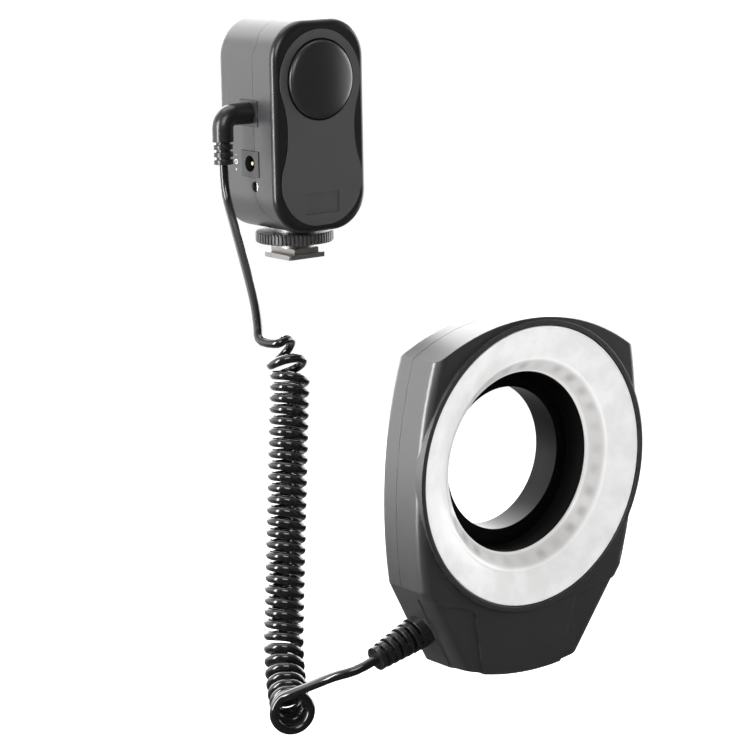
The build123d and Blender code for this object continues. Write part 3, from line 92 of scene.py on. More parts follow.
class Sheet:
    """A shader tree under construction, with short calls for its nodes and links."""

    def __init__(self, tree: bpy.types.NodeTree) -> None:
        """Keeps the tree that the calls add to."""
        self.tree = tree

    def add(
        self, kind: str, inputs: dict[str | int, object] | None = None, **settings: object
    ) -> bpy.types.Node:
        """Adds a node, gives it its settings and feeds its inputs.

        Args:
            kind: The node's type without its ShaderNode prefix.
            inputs: Sockets or plain values, by the input's name or number.
            settings: Attributes of the node by name.

        Returns:
            The new node.
        """
        node = self.tree.nodes.new("ShaderNode" + kind)
        node.location = (len(self.tree.nodes) * NODE_STEP, 0)
        for name, value in settings.items():
            setattr(node, name, value)
        self.fill(node, inputs or {})
        return node

    def fill(self, node: bpy.types.Node, inputs: dict[str | int, object]) -> None:
        """Feeds a node: a socket by a link, and any other value as it is.

        Args:
            node: The node.
            inputs: Sockets or plain values, by the input's name or number.
        """
        for key, value in inputs.items():
            if isinstance(value, Socket):
                self.tree.links.new(value, node.inputs[key])
            else:
                node.inputs[key].default_value = value

    def place(self) -> Socket:
        """The point on the piece, in the frame's metres."""
        return self.add("TexCoord").outputs["Object"]

    def maths(self, operation: str, *values: object) -> Socket:
        """Adds a Math node over sockets or numbers and gives its result."""
        return self.add("Math", dict(enumerate(values)), operation=operation).outputs[0]

    def spread(
        self, value: object, low: float, high: float, to_low: float = 0.0, to_high: float = 1.0
    ) -> Socket:
        """Maps a value from one range onto another, both given by their ends, with soft ends."""
        inputs = dict(enumerate((value, low, high, to_low, to_high)))
        return self.add("MapRange", inputs, interpolation_type="SMOOTHSTEP").outputs[0]

    def blend(self, share: object, first: object, second: object) -> Socket:
        """Mixes two colours; the share is the second one's."""
        return self.add("Mix", {0: share, 6: first, 7: second}, data_type="RGBA").outputs[2]

    def noise(self, place: object, scale: object, detail: float, rough: float = 0.55) -> Socket:
        """A noise from 0 to 1, by its waves in a metre, its octaves and the finer ones' share."""
        inputs = {"Vector": place, "Scale": scale, "Detail": detail, "Roughness": rough}
        return self.add("TexNoise", inputs).outputs[0]

    def choose(self, share: object, first: Socket, second: Socket) -> Socket:
        """Mixes two shaders; the share is the second one's."""
        return self.add("MixShader", {0: share, 1: first, 2: second}).outputs[0]


@dataclass
class Surface:
    """The shader node groups that the finishes share.

    Waves are their number in a metre, their octaves and the finer octaves' share.
    """

    fine_octaves: Pair = (2.0, 0.6)
    coarse_octaves: float = 1.0
    coarse_share: float = 0.35
    coarse_height: float = 0.6
    drift_waves: Numbers = (55.0, 3.0)
    speckle: float = 1.6
    bevel_samples: int = 4
    # The edge mask serves both wear and painted highlight along edges.
    wear_and_highlight_waves: Numbers = (420.0, 3.0)
    wear_and_highlight_patches: Pair = (0.4, 0.62)
    wear_and_highlight_turn: Pair = (0.02, 0.25)
    lay_waves: Numbers = (1.0, 3.0, 0.7)
    lay_gloss: float = 0.25

    def __post_init__(self) -> None:
        """Builds each group once."""
        self.grain = self._grain_group()
        self.edges = self._edge_group()
        self.lay = self._lay_group()

    @staticmethod
    def _group(
        name: str, takes: dict[str, str], gives: dict[str, str]
    ) -> tuple[Sheet, bpy.types.Node, bpy.types.Node]:
        """Starts a node group with named sockets.

        Args:
            name: The group's name.
            takes: Input names and their socket kinds.
            gives: Output names and their socket kinds.

        Returns:
            The group's sheet and its input and output nodes.
        """
        tree = bpy.data.node_groups.new(name, "ShaderNodeTree")
        for side, sockets in (("INPUT", takes), ("OUTPUT", gives)):
            for label, kind in sockets.items():
                tree.interface.new_socket(label, in_out=side, socket_type="NodeSocket" + kind)
        return Sheet(tree), tree.nodes.new("NodeGroupInput"), tree.nodes.new("NodeGroupOutput")

    def _grain_group(self) -> bpy.types.NodeTree:
        """Moulded or cast skin: fine grain in the normal, slow drift in colour and gloss.

        Returns:
            The group.
        """
        sheet, take, give = self._group(
            "Moulded Grain",
            {"Colour": "Color", **dict.fromkeys(GRAIN_VALUES, "Float"), "Normal": "Vector"},
            {"Colour": "Color", "Roughness": "Float", "Normal": "Vector"},
        )
        given, place = take.outputs, sheet.place()
        fine = sheet.noise(place, given["Grain"], *self.fine_octaves)
        coarse_waves = sheet.maths("MULTIPLY", given["Grain"], self.coarse_share)
        coarse = sheet.noise(place, coarse_waves, self.coarse_octaves)
        slow = sheet.noise(place, *self.drift_waves)
        swing = sheet.maths("MULTIPLY_ADD", slow, 2.0, -1.0)
        speckle = sheet.maths("SUBTRACT", fine, 0.5)
        lift = sheet.maths("MULTIPLY_ADD", speckle, self.speckle, swing)
        shade = sheet.maths("MULTIPLY_ADD", lift, given["Drift"], 1.0)
        tint = {0: given["Colour"], "Scale": shade}
        relief = {
            "Strength": 1.0,
            "Distance": given["Depth"],
            "Height": sheet.maths("MULTIPLY_ADD", coarse, self.coarse_height, fine),
            "Normal": given["Normal"],
        }
        results = {
            "Colour": sheet.add("VectorMath", tint, operation="SCALE").outputs[0],
            "Roughness": sheet.maths("MULTIPLY_ADD", lift, given["Spread"], given["Roughness"]),
            "Normal": sheet.add("Bump", relief).outputs[0],
        }
        sheet.fill(give, results)
        return sheet.tree

    def _edge_group(self) -> bpy.types.NodeTree:
        """Edges as a moulding has them: a small radius in the normal, and a mask along it for wear and painted
        highlight.

        Returns:
            The group.
        """
        sheet, take, give = self._group(
            "Worn And Highlit Edge", {"Radius": "Float"}, {"Normal": "Vector", "Wear And Highlight": "Float"}
        )
        rounded = sheet.add("Bevel", {"Radius": take.outputs[0]}, samples=self.bevel_samples)
        sides = {0: rounded.outputs[0], 1: sheet.add("NewGeometry").outputs["Normal"]}
        facing = sheet.add("VectorMath", sides, operation="DOT_PRODUCT").outputs["Value"]
        turned = sheet.spread(sheet.maths("SUBTRACT", 1.0, facing), *self.wear_and_highlight_turn)
        patchy = sheet.spread(sheet.noise(sheet.place(), *self.wear_and_highlight_waves), *self.wear_and_highlight_patches)
        wear_and_highlight = sheet.maths("MULTIPLY", turned, patchy)
        sheet.fill(give, {"Normal": rounded.outputs[0], "Wear And Highlight": wear_and_highlight})
        return sheet.tree

    def _lay_group(self) -> bpy.types.NodeTree:
        """Machined metal: fine lines along one direction, in gloss and normal.

        Returns:
            The group.
        """
        sheet, take, give = self._group(
            "Machined Lay",
            {"Stretch": "Vector", "Roughness": "Float", "Depth": "Float", "Normal": "Vector"},
            {"Roughness": "Float", "Normal": "Vector"},
        )
        given = take.outputs
        sides = {0: sheet.place(), 1: given["Stretch"]}
        drawn = sheet.add("VectorMath", sides, operation="MULTIPLY").outputs[0]
        lines = sheet.noise(drawn, *self.lay_waves)
        swing = sheet.maths("SUBTRACT", lines, 0.5)
        gloss = sheet.maths("MULTIPLY_ADD", swing, self.lay_gloss, given["Roughness"])
        relief = {"Distance": given["Depth"], "Height": lines, "Normal": given["Normal"]}
        sheet.fill(give, {"Roughness": gloss, "Normal": sheet.add("Bump", relief).outputs[0]})
        return sheet.tree


@dataclass(frozen=True)
class Finish:
    """A moulded, painted or rubber finish.

    It is named after a slot, or after the one node that wears it. The grain is in waves a metre,
    and the depth and edge radius are in metres.
    """

    name: str
    colour: Place
    roughness: float
    spread: float = 0.03
    drift: float = 0.08
    grain: float = 1900.0
    depth: float = 6e-6
    edge: float = 2e-4
    # The edges' lighter colour is partly wear and partly painted highlight.
    wear_and_highlight: float = 0.35
    wear_and_highlight_colour: Place = (0.16, 0.16, 0.165)
    metallic: float = 0.0
    coat: float = 0.0
    coat_roughness: float = 0.08
    sheen: float = 0.0
    sheen_roughness: float = 0.4
    ior: float = 1.5

    def ground(self, sheet: Sheet) -> Socket | Numbers:
        """The colour under the grain; a patterned finish gives a socket here."""
        return (*self.colour, 1.0)

    def skin(self, sheet: Sheet, surface: Surface, normal: Socket) -> tuple[Socket, ...]:
        """Wires what lies under the wear and the painted edge highlight.

        Args:
            sheet: The material's sheet.
            surface: The shared node groups.
            normal: The normal with its edges rounded.

        Returns:
            The colour, the roughness and the normal.
        """
        inputs = {name: getattr(self, name.lower()) for name in GRAIN_VALUES}
        inputs.update(Colour=self.ground(sheet), Normal=normal)
        grain = sheet.add("Group", inputs, node_tree=surface.grain)
        return tuple(grain.outputs[name] for name in ("Colour", "Roughness", "Normal"))

    def build(self, surface: Surface) -> bpy.types.Material:
        """Wires the finish with the wear and the painted highlight along its edges.

        Args:
            surface: The shared node groups.

        Returns:
            The finished material.
        """
        material = bpy.data.materials.new(self.name)
        material.use_nodes = True
        material.diffuse_color = (*self.colour, 1.0)
        sheet = Sheet(material.node_tree)
        edges = sheet.add("Group", {"Radius": self.edge}, node_tree=surface.edges)
        colour, roughness, normal = self.skin(sheet, surface, edges.outputs["Normal"])
        # Lightens the edges towards one colour, as wear and also as painted highlight.
        worn_and_highlit = sheet.maths("MULTIPLY", edges.outputs["Wear And Highlight"], self.wear_and_highlight)
        inputs = {
            "Base Color": sheet.blend(worn_and_highlit, colour, (*self.wear_and_highlight_colour, 1.0)),
            "Roughness": roughness,
            "Normal": normal,
            "Metallic": self.metallic,
            "Coat Weight": self.coat,
            "Coat Roughness": self.coat_roughness,
            "IOR": self.ior,
            "Sheen Weight": self.sheen,
            "Sheen Roughness": self.sheen_roughness,
        }
        sheet.fill(material.node_tree.nodes["Principled BSDF"], inputs)
        return material


@dataclass(frozen=True)
class MetalFinish(Finish):
    """Machined, plated or spring metal, with its lay along one direction."""

    metallic: float = 1.0
    stretch: Place = (200.0, 6000.0, 6000.0)
    lay_depth: float = 3e-6
    tarnish_waves: Numbers = (160.0, 4.0)
    tarnish_range: Pair = (0.35, 0.75)
    tarnish_share: float = 3.0
    dulling: float = 0.55

    def skin(self, sheet: Sheet, surface: Surface, normal: Socket) -> tuple[Socket, ...]:
        """Wires what lies under the wear and the painted edge highlight.

        Args:
            sheet: The material's sheet.
            surface: The shared node groups.
            normal: The normal with its edges rounded.

        Returns:
            The colour, the roughness and the normal.
        """
        inputs = {"Stretch": self.stretch, "Roughness": self.roughness, "Depth": self.lay_depth}
        lay = sheet.add("Group", {**inputs, "Normal": normal}, node_tree=surface.lay)
        clouds = sheet.noise(sheet.place(), *self.tarnish_waves)
        most = self.drift * self.tarnish_share
        tarnish = sheet.spread(clouds, *self.tarnish_range, 0.0, most)
        dull = tuple(channel * self.dulling for channel in self.colour)
        colour = sheet.blend(tarnish, (*self.colour, 1.0), (*dull, 1.0))
        return colour, lay.outputs["Roughness"], lay.outputs["Normal"]


@dataclass(frozen=True)
class DiffuserFinish(Finish):
    """Frosted acrylic over a ring of lamps, whose soft spots show through its inner slope.

    Radii and reaches are in metres. The slope's grey is painted shade, and each painted highlight along a rim is a
    radius and its reach.
    """

    lamps: int = 28
    axis_z: float = 0.0
    ridge: float = 0.0404
    # Painted shade on the inner slope: where it fades out, how strong it is, and its grey, which the random mottle
    # also leans towards.
    slope_shade_fade: Pair = (0.0016, 0.0002)
    slope_shade_share: float = 0.75
    mottle_and_shade_colour: Place = (0.60, 0.59, 0.58)
    cloud_waves: Numbers = (95.0, 3.0)
    cloud_range: Numbers = (0.35, 0.65, 0.0, 0.32)
    spot_radius: float = 0.0376
    spot_reach: float = 0.0024
    spot_turn: Pair = (0.10, 0.46)
    spot_colour: Place = (0.36, 0.33, 0.30)
    uneven_waves: Numbers = (42.0, 1.0)
    uneven_range: Numbers = (0.42, 0.62, 0.175, 0.7)
    # Painted highlights: thin pale rings at the ridge, the inner lip and the outer edge.
    rims: tuple[Pair, ...] = ((0.0404, 0.0007), (0.0346, 0.0011), (0.0531, 0.0009))
    highlight_share: float = 0.7
    highlight_colour: Place = grey(0.95)

    @staticmethod
    def _band(sheet: Sheet, radius: Socket, middle: float, reach: float) -> Socket:
        """The mask of a soft ring, by the ring's radius and how far it fades to both sides."""
        away = sheet.maths("ABSOLUTE", sheet.maths("SUBTRACT", radius, middle))
        return sheet.spread(away, 0.0, reach, 1.0, 0.0)

    def _spots(self, sheet: Sheet, place: Socket, radius: Socket, angle: Socket) -> Socket:
        """The soft spots of the lamps, one at each, some brighter than others.

        Args:
            sheet: The material's sheet.
            place: The point on the piece.
            radius: The distance from the axis.
            angle: The turn about the axis.

        Returns:
            The spots' mask.
        """
        turns = sheet.maths("MULTIPLY_ADD", angle, self.lamps / math.tau, float(self.lamps))
        from_middle = sheet.maths("SUBTRACT", sheet.maths("FRACT", turns), 0.5)
        lamp = sheet.spread(sheet.maths("ABSOLUTE", from_middle), *self.spot_turn)
        band = self._band(sheet, radius, self.spot_radius, self.spot_reach)
        uneven = sheet.spread(sheet.noise(place, *self.uneven_waves), *self.uneven_range)
        return sheet.maths("MULTIPLY", sheet.maths("MULTIPLY", band, lamp), uneven)

    def ground(self, sheet: Sheet) -> Socket:
        """The pale band, painted shade greying the slope inside it, a soft spot at each lamp and painted
        highlights along the rims.

        Args:
            sheet: The material's sheet.

        Returns:
            The colour under the grain.
        """
        place = sheet.place()
        split = sheet.add("SeparateXYZ", {0: place})
        across = split.outputs["X"]
        up = sheet.maths("SUBTRACT", split.outputs["Z"], self.axis_z)
        square = sheet.maths("MULTIPLY_ADD", across, across, sheet.maths("MULTIPLY", up, up))
        radius = sheet.maths("SQRT", square)
        # One grey serves both the random mottle and the painted shade on the slope.
        mottle_and_shade_grey = (*self.mottle_and_shade_colour, 1.0)
        clouds = sheet.spread(sheet.noise(place, *self.cloud_waves), *self.cloud_range)
        pale = sheet.blend(clouds, (*self.colour, 1.0), mottle_and_shade_grey)
        fade_start, fade_end = (self.ridge - inward for inward in self.slope_shade_fade)
        # Painted shade: the slope inside the ridge is greyed.
        slope = sheet.spread(radius, fade_start, fade_end, self.slope_shade_share, 0.0)
        slope_shaded = sheet.blend(slope, pale, mottle_and_shade_grey)
        spots = self._spots(sheet, place, radius, sheet.maths("ARCTAN2", up, across))
        spotted = sheet.blend(spots, slope_shaded, (*self.spot_colour, 1.0))
        # Painted highlights along the ridge, the inner lip and the outer edge.
        rims: Socket | float = 0.0
        for middle, reach in self.rims:
            rims = sheet.maths("MAXIMUM", rims, self._band(sheet, radius, middle, reach))
        painted_highlights = sheet.maths("MULTIPLY", rims, self.highlight_share)
        return sheet.blend(painted_highlights, spotted, (*self.highlight_colour, 1.0))


class Dresser:
    """Gives every piece its finish, by its node's name or the record's own slots."""

    def __init__(self, finishes: list[Finish], surface: Surface) -> None:
        """Builds the materials.

        Args:
            finishes: One for each slot, and one for each node with a finish of its own.
            surface: The shared node groups.
        """
        self.materials = {finish.name: finish.build(surface) for finish in finishes}
        subparts = frame["record"]["subparts"]
        self.slot_of = {row["node"]: row["material_slot"] for row in subparts}

    def dress_nodes(self) -> None:
        """Gives each carried-over node its finish."""
        for name, node in frame["nodes"].items():
            material = self.materials.get(name, self.materials[self.slot_of[name]])
            node.data.materials.clear()
            node.data.materials.append(material)
            LOG.info("dressed %s", name)

    def dress(self, piece: Piece, slot: str, body: str, finish: str = "") -> None:
        """Finishes a new piece and sets what it rides on.

        Args:
            piece: The finished object.
            slot: The record's material slot.
            body: The body that carries it.
            finish: The name of its finish, where that isn't the slot's.
        """
        piece.data.materials.clear()
        piece.data.materials.append(self.materials[finish or slot])
        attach(piece, body)
        LOG.info("built %s", piece.name)


@dataclass
class CurlyCord:
    """The cord from the ring head's strain relief, through its curls, to the plug.

    Sizes are in millimetres and degrees, as in the construction, and the length is in metres.
    """

    radius: float = 1.8
    curl_radius: float = 6.0
    last_curl_radius: float = 7.6
    opening_curls: float = 1.5
    curl_start: float = 200.0
    first_curl: float = 0.22
    curl_pitch: float = 4.35
    hang_curls: float = 22.0
    neck: Place = (-45.8, -56.8, -36.4)
    lean: float = 18.3
    heading: float = -135.0
    fan_turn: float = 55.0
    fan_bend_radius: float = 15.6
    fan_heading: float = -38.3
    fan_curls: float = 2.25
    tail_turn: float = 76.0
    tail_bend_radius: float = 33.3
    tail_heading: float = -117.0
    tail_curls: float = 8.9
    points_in_curl: int = 16
    section_steps: int = 4
    line_steps: int = 3
    upper_route: tuple[Place, ...] = (
        (-36.2, -2.3, 41.6),
        (-36.2, -2.3, 33.0),
        (-36.8, -6.0, 24.7),
        (-39.8, -14.6, 16.2),
        (-44.0, -26.6, 3.7),
        (-47.8, -37.6, -8.6),
        (-50.2, -42.7, -17.6),
        (-51.9, -45.0, -22.8),
    )
    lower_route: tuple[Place, ...] = (
        (-84.3, -112.0, -139.8),
        (-83.0, -120.0, -135.6),
        (-80.0, -127.2, -131.6),
        (-73.8, -133.1, -129.4),
        (-65.7, -133.1, -126.9),
    )
    length: float = 1.40

    @staticmethod
    def _way(heading: float, dip: float) -> Vector:
        """A unit vector by its heading from +X towards +Y and its dip below the horizontal."""
        turns = Euler((0.0, math.radians(dip), math.radians(heading)))
        return turns.to_matrix() @ Vector((1.0, 0.0, 0.0))

    def _curl_points(self) -> list[Vector]:
        """The curls' points, a little wider than the curls, since a spline cuts inside them.

        Returns:
            The points, from the fan at the top to the tail at the foot.
        """
        neck = Vector(self.neck)
        hang = self._way(self.heading, 90 - self.lean)
        fan_axis = hang.cross(self._way(self.fan_heading, 0)).normalized()
        side = fan_axis.cross(hang).normalized()
        fan_centre = neck - side * self.fan_bend_radius
        foot = neck + hang * (self.hang_curls * self.curl_pitch)
        tail_axis = hang.cross(self._way(self.tail_heading, 0)).normalized()
        tail_centre = foot + tail_axis.cross(hang).normalized() * self.tail_bend_radius
        tail_start = self.fan_curls + self.hang_curls
        total = tail_start + self.tail_curls
        steps = round((total - self.first_curl) * self.points_in_curl)
        grow = 1 / math.cos(math.pi / self.points_in_curl) ** 0.5
        points = []
        for step in range(steps + 1):
            curl = self.first_curl + (total - self.first_curl) * step / steps
            spin = Matrix.Identity(3)
            place = neck + hang * ((curl - self.fan_curls) * self.curl_pitch)
            if curl < self.fan_curls:
                turned = self.fan_turn * (1 - curl / self.fan_curls)
                spin = Matrix.Rotation(math.radians(turned), 3, fan_axis)
                place = fan_centre + spin @ (neck - fan_centre)
            elif curl > tail_start:
                turned = self.tail_turn * (curl - tail_start) / self.tail_curls
                spin = Matrix.Rotation(math.radians(turned), 3, tail_axis)
                place = tail_centre + spin @ (foot - tail_centre)
            opening = max(0.0, curl - total + self.opening_curls) / self.opening_curls
            widened = opening * (self.last_curl_radius - self.curl_radius)
            reach = (self.curl_radius + widened) * grow
            angle = math.radians(self.curl_start + 360 * curl)
            out, across = spin @ side, (spin @ hang).cross(spin @ side)
            round_it = out * (reach * math.cos(angle)) - across * (reach * math.sin(angle))
            points.append(place + round_it)
        return points

    def build(self, dresser: Dresser) -> None:
        """Makes the cord as one smooth line with a round section.

        Args:
            dresser: Gives the cord its finish.
        """
        route = (*self.upper_route, *self._curl_points(), *self.lower_route)
        points = [Vector(point) * MM for point in reversed(route)]
        line = bpy.data.curves.new("curly_cord", "CURVE")
        line.dimensions = "3D"
        line.bevel_depth = self.radius * MM
        line.bevel_resolution = self.section_steps
        line.resolution_u = self.line_steps
        line.use_fill_caps = True
        spline = line.splines.new("NURBS")
        spline.points.add(len(points) - 1)
        for spot, point in zip(spline.points, points):
            spot.co = (*point, 1.0)
        spline.order_u = 3
        spline.use_endpoint_u = True
        cord = bpy.data.objects.new("curly_cord", line)
        bpy.context.scene.collection.objects.link(cord)
        dresser.dress(cord, "cord_rubber", "unit")
        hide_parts("cord_upper", "cord_coil", "cord_lower")


class Bench:
    """Modelling steps that the small pieces share, with lengths in metres."""

    @staticmethod
    def pick(piece: Piece) -> None:
        """Selects one piece alone and makes it the active one.

        Args:
            piece: The piece.
        """
        bpy.ops.object.select_all(action="DESELECT")
        piece.select_set(True)
        bpy.context.view_layer.objects.active = piece

    @staticmethod
    def spun(name: str, outline: list[Pair], axis: Vector, steps: int) -> Piece:
        """Spins a closed outline about an axis that runs along Y.

        Args:
            name: The piece's name.
            outline: Radius and depth of each corner in millimetres, in order round the section.
            axis: A point on the axis, from which the depths count.
            steps: Faces round the axis.

        Returns:
            The ring.
        """
        bpy.ops.object.select_all(action="DESELECT")
        bpy.ops.mesh.primitive_circle_add(vertices=len(outline), radius=1.0)
        piece = bpy.context.object
        piece.name = name
        for corner, (radius, depth) in zip(piece.data.vertices, outline):
            corner.co = axis + Vector((radius * MM, depth * MM, 0.0))
        Bench.pick(piece)
        bpy.ops.object.mode_set(mode="EDIT")
        bpy.ops.mesh.select_all(action="SELECT")
        bpy.ops.mesh.spin(steps=steps, angle=math.tau, center=axis, axis=(0.0, 1.0, 0.0))
        bpy.ops.mesh.select_all(action="SELECT")
        bpy.ops.mesh.remove_doubles(threshold=MERGE_DISTANCE)
        bpy.ops.mesh.normals_make_consistent(inside=False)
        bpy.ops.object.mode_set(mode="OBJECT")
        return piece

    @staticmethod
    def smooth(piece: Piece, degrees: float = CREASE) -> None:
        """Shades a piece smooth up to an angle, beyond which its edges stay sharp."""
        Bench.pick(piece)
        bpy.ops.object.shade_smooth_by_angle(angle=math.radians(degrees))

    @staticmethod
    def modify(piece: Piece, kind: str, **settings: object) -> None:
        """Adds a modifier with its settings and applies it.

        Args:
            piece: The piece.
            kind: The modifier's type.
            settings: Attributes of the modifier by name.
        """
        modifier = piece.modifiers.new(kind.lower(), kind)
        for name, value in settings.items():
            setattr(modifier, name, value)
        bpy.context.view_layer.objects.active = piece
        bpy.ops.object.modifier_apply(modifier=modifier.name)

    @staticmethod
    def bow(first: Pair, middle: Pair, last: Pair, steps: int) -> list[Pair]:
        """Points of a bow that leaves towards a middle point and comes in from it.

        Args:
            first: Where it starts.
            middle: The corner that it rounds.
            last: Where it ends.
            steps: Its pieces.

        Returns:
            The points, both ends included.
        """
        points = []
        for step in range(steps + 1):
            t = step / steps
            shares = ((1 - t) ** 2, 2 * t * (1 - t), t**2)
            pulls = list(zip(shares, (first, middle, last)))
            points.append(tuple(sum(share * spot[k] for share, spot in pulls) for k in (0, 1)))
        return points


@dataclass
class RingFace:
    """The frosted diffuser and the threaded adapter, spun about the head's axis.

    Radii and depths are in millimetres, and the depths count back from the head's front. The
    collar and the flange are each a radius, a front and a back.
    """

    front: float = -148.1
    rim: Pair = (53.1, 0.5)
    rim_round: float = 0.35
    band_edge: Pair = (52.3, 0.5)
    band_bow: Pair = (46.35, 1.45)
    band_end: Pair = (41.4, 3.92)
    band_gap: float = 0.001
    ridge: Pair = (40.4, 4.4)
    slope_start: Pair = (39.7, 5.03)
    slope_end: Pair = (35.0, 9.24)
    lip: Pair = (34.6, 9.6)
    foot: Pair = (34.6, 10.6)
    foot_width: float = 1.6
    back_ridge: Pair = (41.2, 6.16)
    back_bow: Pair = (46.2, 3.08)
    ledge: Pair = (51.2, 2.0)
    corner_steps: int = 4
    band_steps: int = 14
    ridge_steps: int = 6
    back_steps: int = 8
    diffuser_steps: int = 192
    bore: float = 27.4
    collar: Place = (32.4, 18.7, 20.1)
    neck: float = 31.0
    flange: Place = (33.6, 24.5, 26.9)
    chamfer: float = 0.3
    thread_radius: float = 29.0
    thread_end: float = 30.4
    thread_pitch: float = 0.75
    thread_depth: float = 0.4
    thread_rows: int = 28
    grip_teeth: int = 72
    grip_depth: float = 0.22
    adapter_steps: int = 360
    adapter_crease: float = 22.0

    def axis(self) -> Vector:
        """The point of the head's axis in the plane of its front."""
        centre = joint_spot("adapter_turn")
        return Vector((centre.x, self.front * MM, centre.z))

    def diffuser(self, dresser: Dresser) -> None:
        """Makes the diffuser with a rounded rim, ridge and inner lip.

        Args:
            dresser: Gives it its finish.
        """
        (out, back), (lip, lip_depth), (foot, foot_depth) = self.rim, self.lip, self.foot
        rim_side, rim_front = (out, back + self.rim_round), (out - self.rim_round, back)
        band_last = (self.band_end[0] + self.band_gap, self.band_end[1])
        lip_end = (lip, lip_depth + self.chamfer)
        foot_out = foot + self.foot_width
        outline = [
            (out, self.ledge[1]),
            *Bench.bow(rim_side, self.rim, rim_front, self.corner_steps),
            *Bench.bow(self.band_edge, self.band_bow, band_last, self.band_steps),
            *Bench.bow(self.band_end, self.ridge, self.slope_start, self.ridge_steps),
            *Bench.bow(self.slope_end, self.lip, lip_end, self.corner_steps),
            self.foot,
            (foot_out, foot_depth),
            (foot_out, foot_depth - self.rim_round),
            *Bench.bow(self.back_ridge, self.back_bow, self.ledge, self.back_steps),
        ]
        piece = Bench.spun("frosted_diffuser", outline, self.axis(), self.diffuser_steps)
        Bench.smooth(piece)
        dresser.dress(piece, "diffuser_frost", "unit")
        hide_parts("diffuser")

    def _cut(self, radius: float, depth: float, turn: float) -> float:
        """How deep the thread or the grip cuts at a corner.

        Args:
            radius: The corner's radius.
            depth: Its depth from the head's front.
            turn: Its share of a whole turn.

        Returns:
            The cut's depth.
        """
        near = NEAR / MM
        flange, _, flange_back = self.flange
        if depth > flange_back + near and abs(radius - self.thread_radius) < near:
            return self.thread_depth * abs(2 * ((depth / self.thread_pitch + turn) % 1) - 1)
        if radius > flange - near:
            return self.grip_depth * abs(2 * ((self.grip_teeth * turn) % 1) - 1)
        return 0.0

    def adapter(self, dresser: Dresser) -> None:
        """Makes the adapter with a cut thread and a grip round its flange.

        Args:
            dresser: Gives it its finish.
        """
        edge, thread, end = self.chamfer, self.thread_radius, self.thread_end
        collar, collar_front, collar_back = self.collar
        flange, flange_front, flange_back = self.flange
        rows = range(self.thread_rows)
        run = end - flange_back
        outline = [
            (self.bore, collar_front),
            (collar, collar_front),
            (collar, collar_back),
            (self.neck, collar_back),
            (self.neck, flange_front),
            (flange - edge, flange_front),
            (flange, flange_front + edge),
            (flange, flange_back - edge),
            (flange - edge, flange_back),
            *((thread, flange_back + run * row / self.thread_rows) for row in rows),
            (thread - self.thread_depth, end),
            (self.bore, end),
        ]
        axis = self.axis()
        piece = Bench.spun("threaded_adapter", outline, axis, self.adapter_steps)
        for corner in piece.data.vertices:
            across, up = corner.co.x - axis.x, corner.co.z - axis.z
            radius, depth = math.hypot(across, up) / MM, (corner.co.y - axis.y) / MM
            share = 1 - self._cut(radius, depth, math.atan2(up, across) / math.tau) / radius
            corner.co = (axis.x + across * share, corner.co.y, axis.z + up * share)
        Bench.smooth(piece, self.adapter_crease)
        dresser.dress(piece, "adapter_metal", "adapter_ring")
        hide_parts("adapter_ring")

    def build(self, dresser: Dresser) -> None:
        """Makes both rings."""
        self.diffuser(dresser)
        self.adapter(dresser)


@dataclass
class CrownedCap:
    """The unit's round cap, crowned from its middle to a soft shoulder, in millimetres."""

    crown: float = 1.5
    shoulder: float = 1.7
    shoulder_pull: float = 0.6
    flat_share: float = 0.45
    crown_steps: int = 16
    shoulder_steps: int = 8
    steps: int = 144

    def build(self, dresser: Dresser) -> None:
        """Spins the cap between the front and back of its node.

        Args:
            dresser: Gives it its finish.
        """
        low, high = (Vector(corner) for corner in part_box("dome_cap"))
        middle = (low + high) / 2
        radius, deep = (high.x - low.x) / 2 / MM, (high.y - low.y) / MM
        edge = (radius - self.shoulder, self.crown)
        corner, side = self.crown + self.shoulder_pull, self.crown + self.shoulder
        crown = Bench.bow((0.0, 0.0), (radius * self.flat_share, 0.0), edge, self.crown_steps)
        turn = Bench.bow(edge, (radius, corner), (radius, side), self.shoulder_steps)
        outline = [*crown, *turn[1:], (radius, deep), (0.0, deep)]
        front = Vector((middle.x, low.y, middle.z))
        piece = Bench.spun("crowned_cap", outline, front, self.steps)
        Bench.smooth(piece)
        dresser.dress(piece, "panel_plastic", "unit", finish="dome_cap")
        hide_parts("dome_cap")


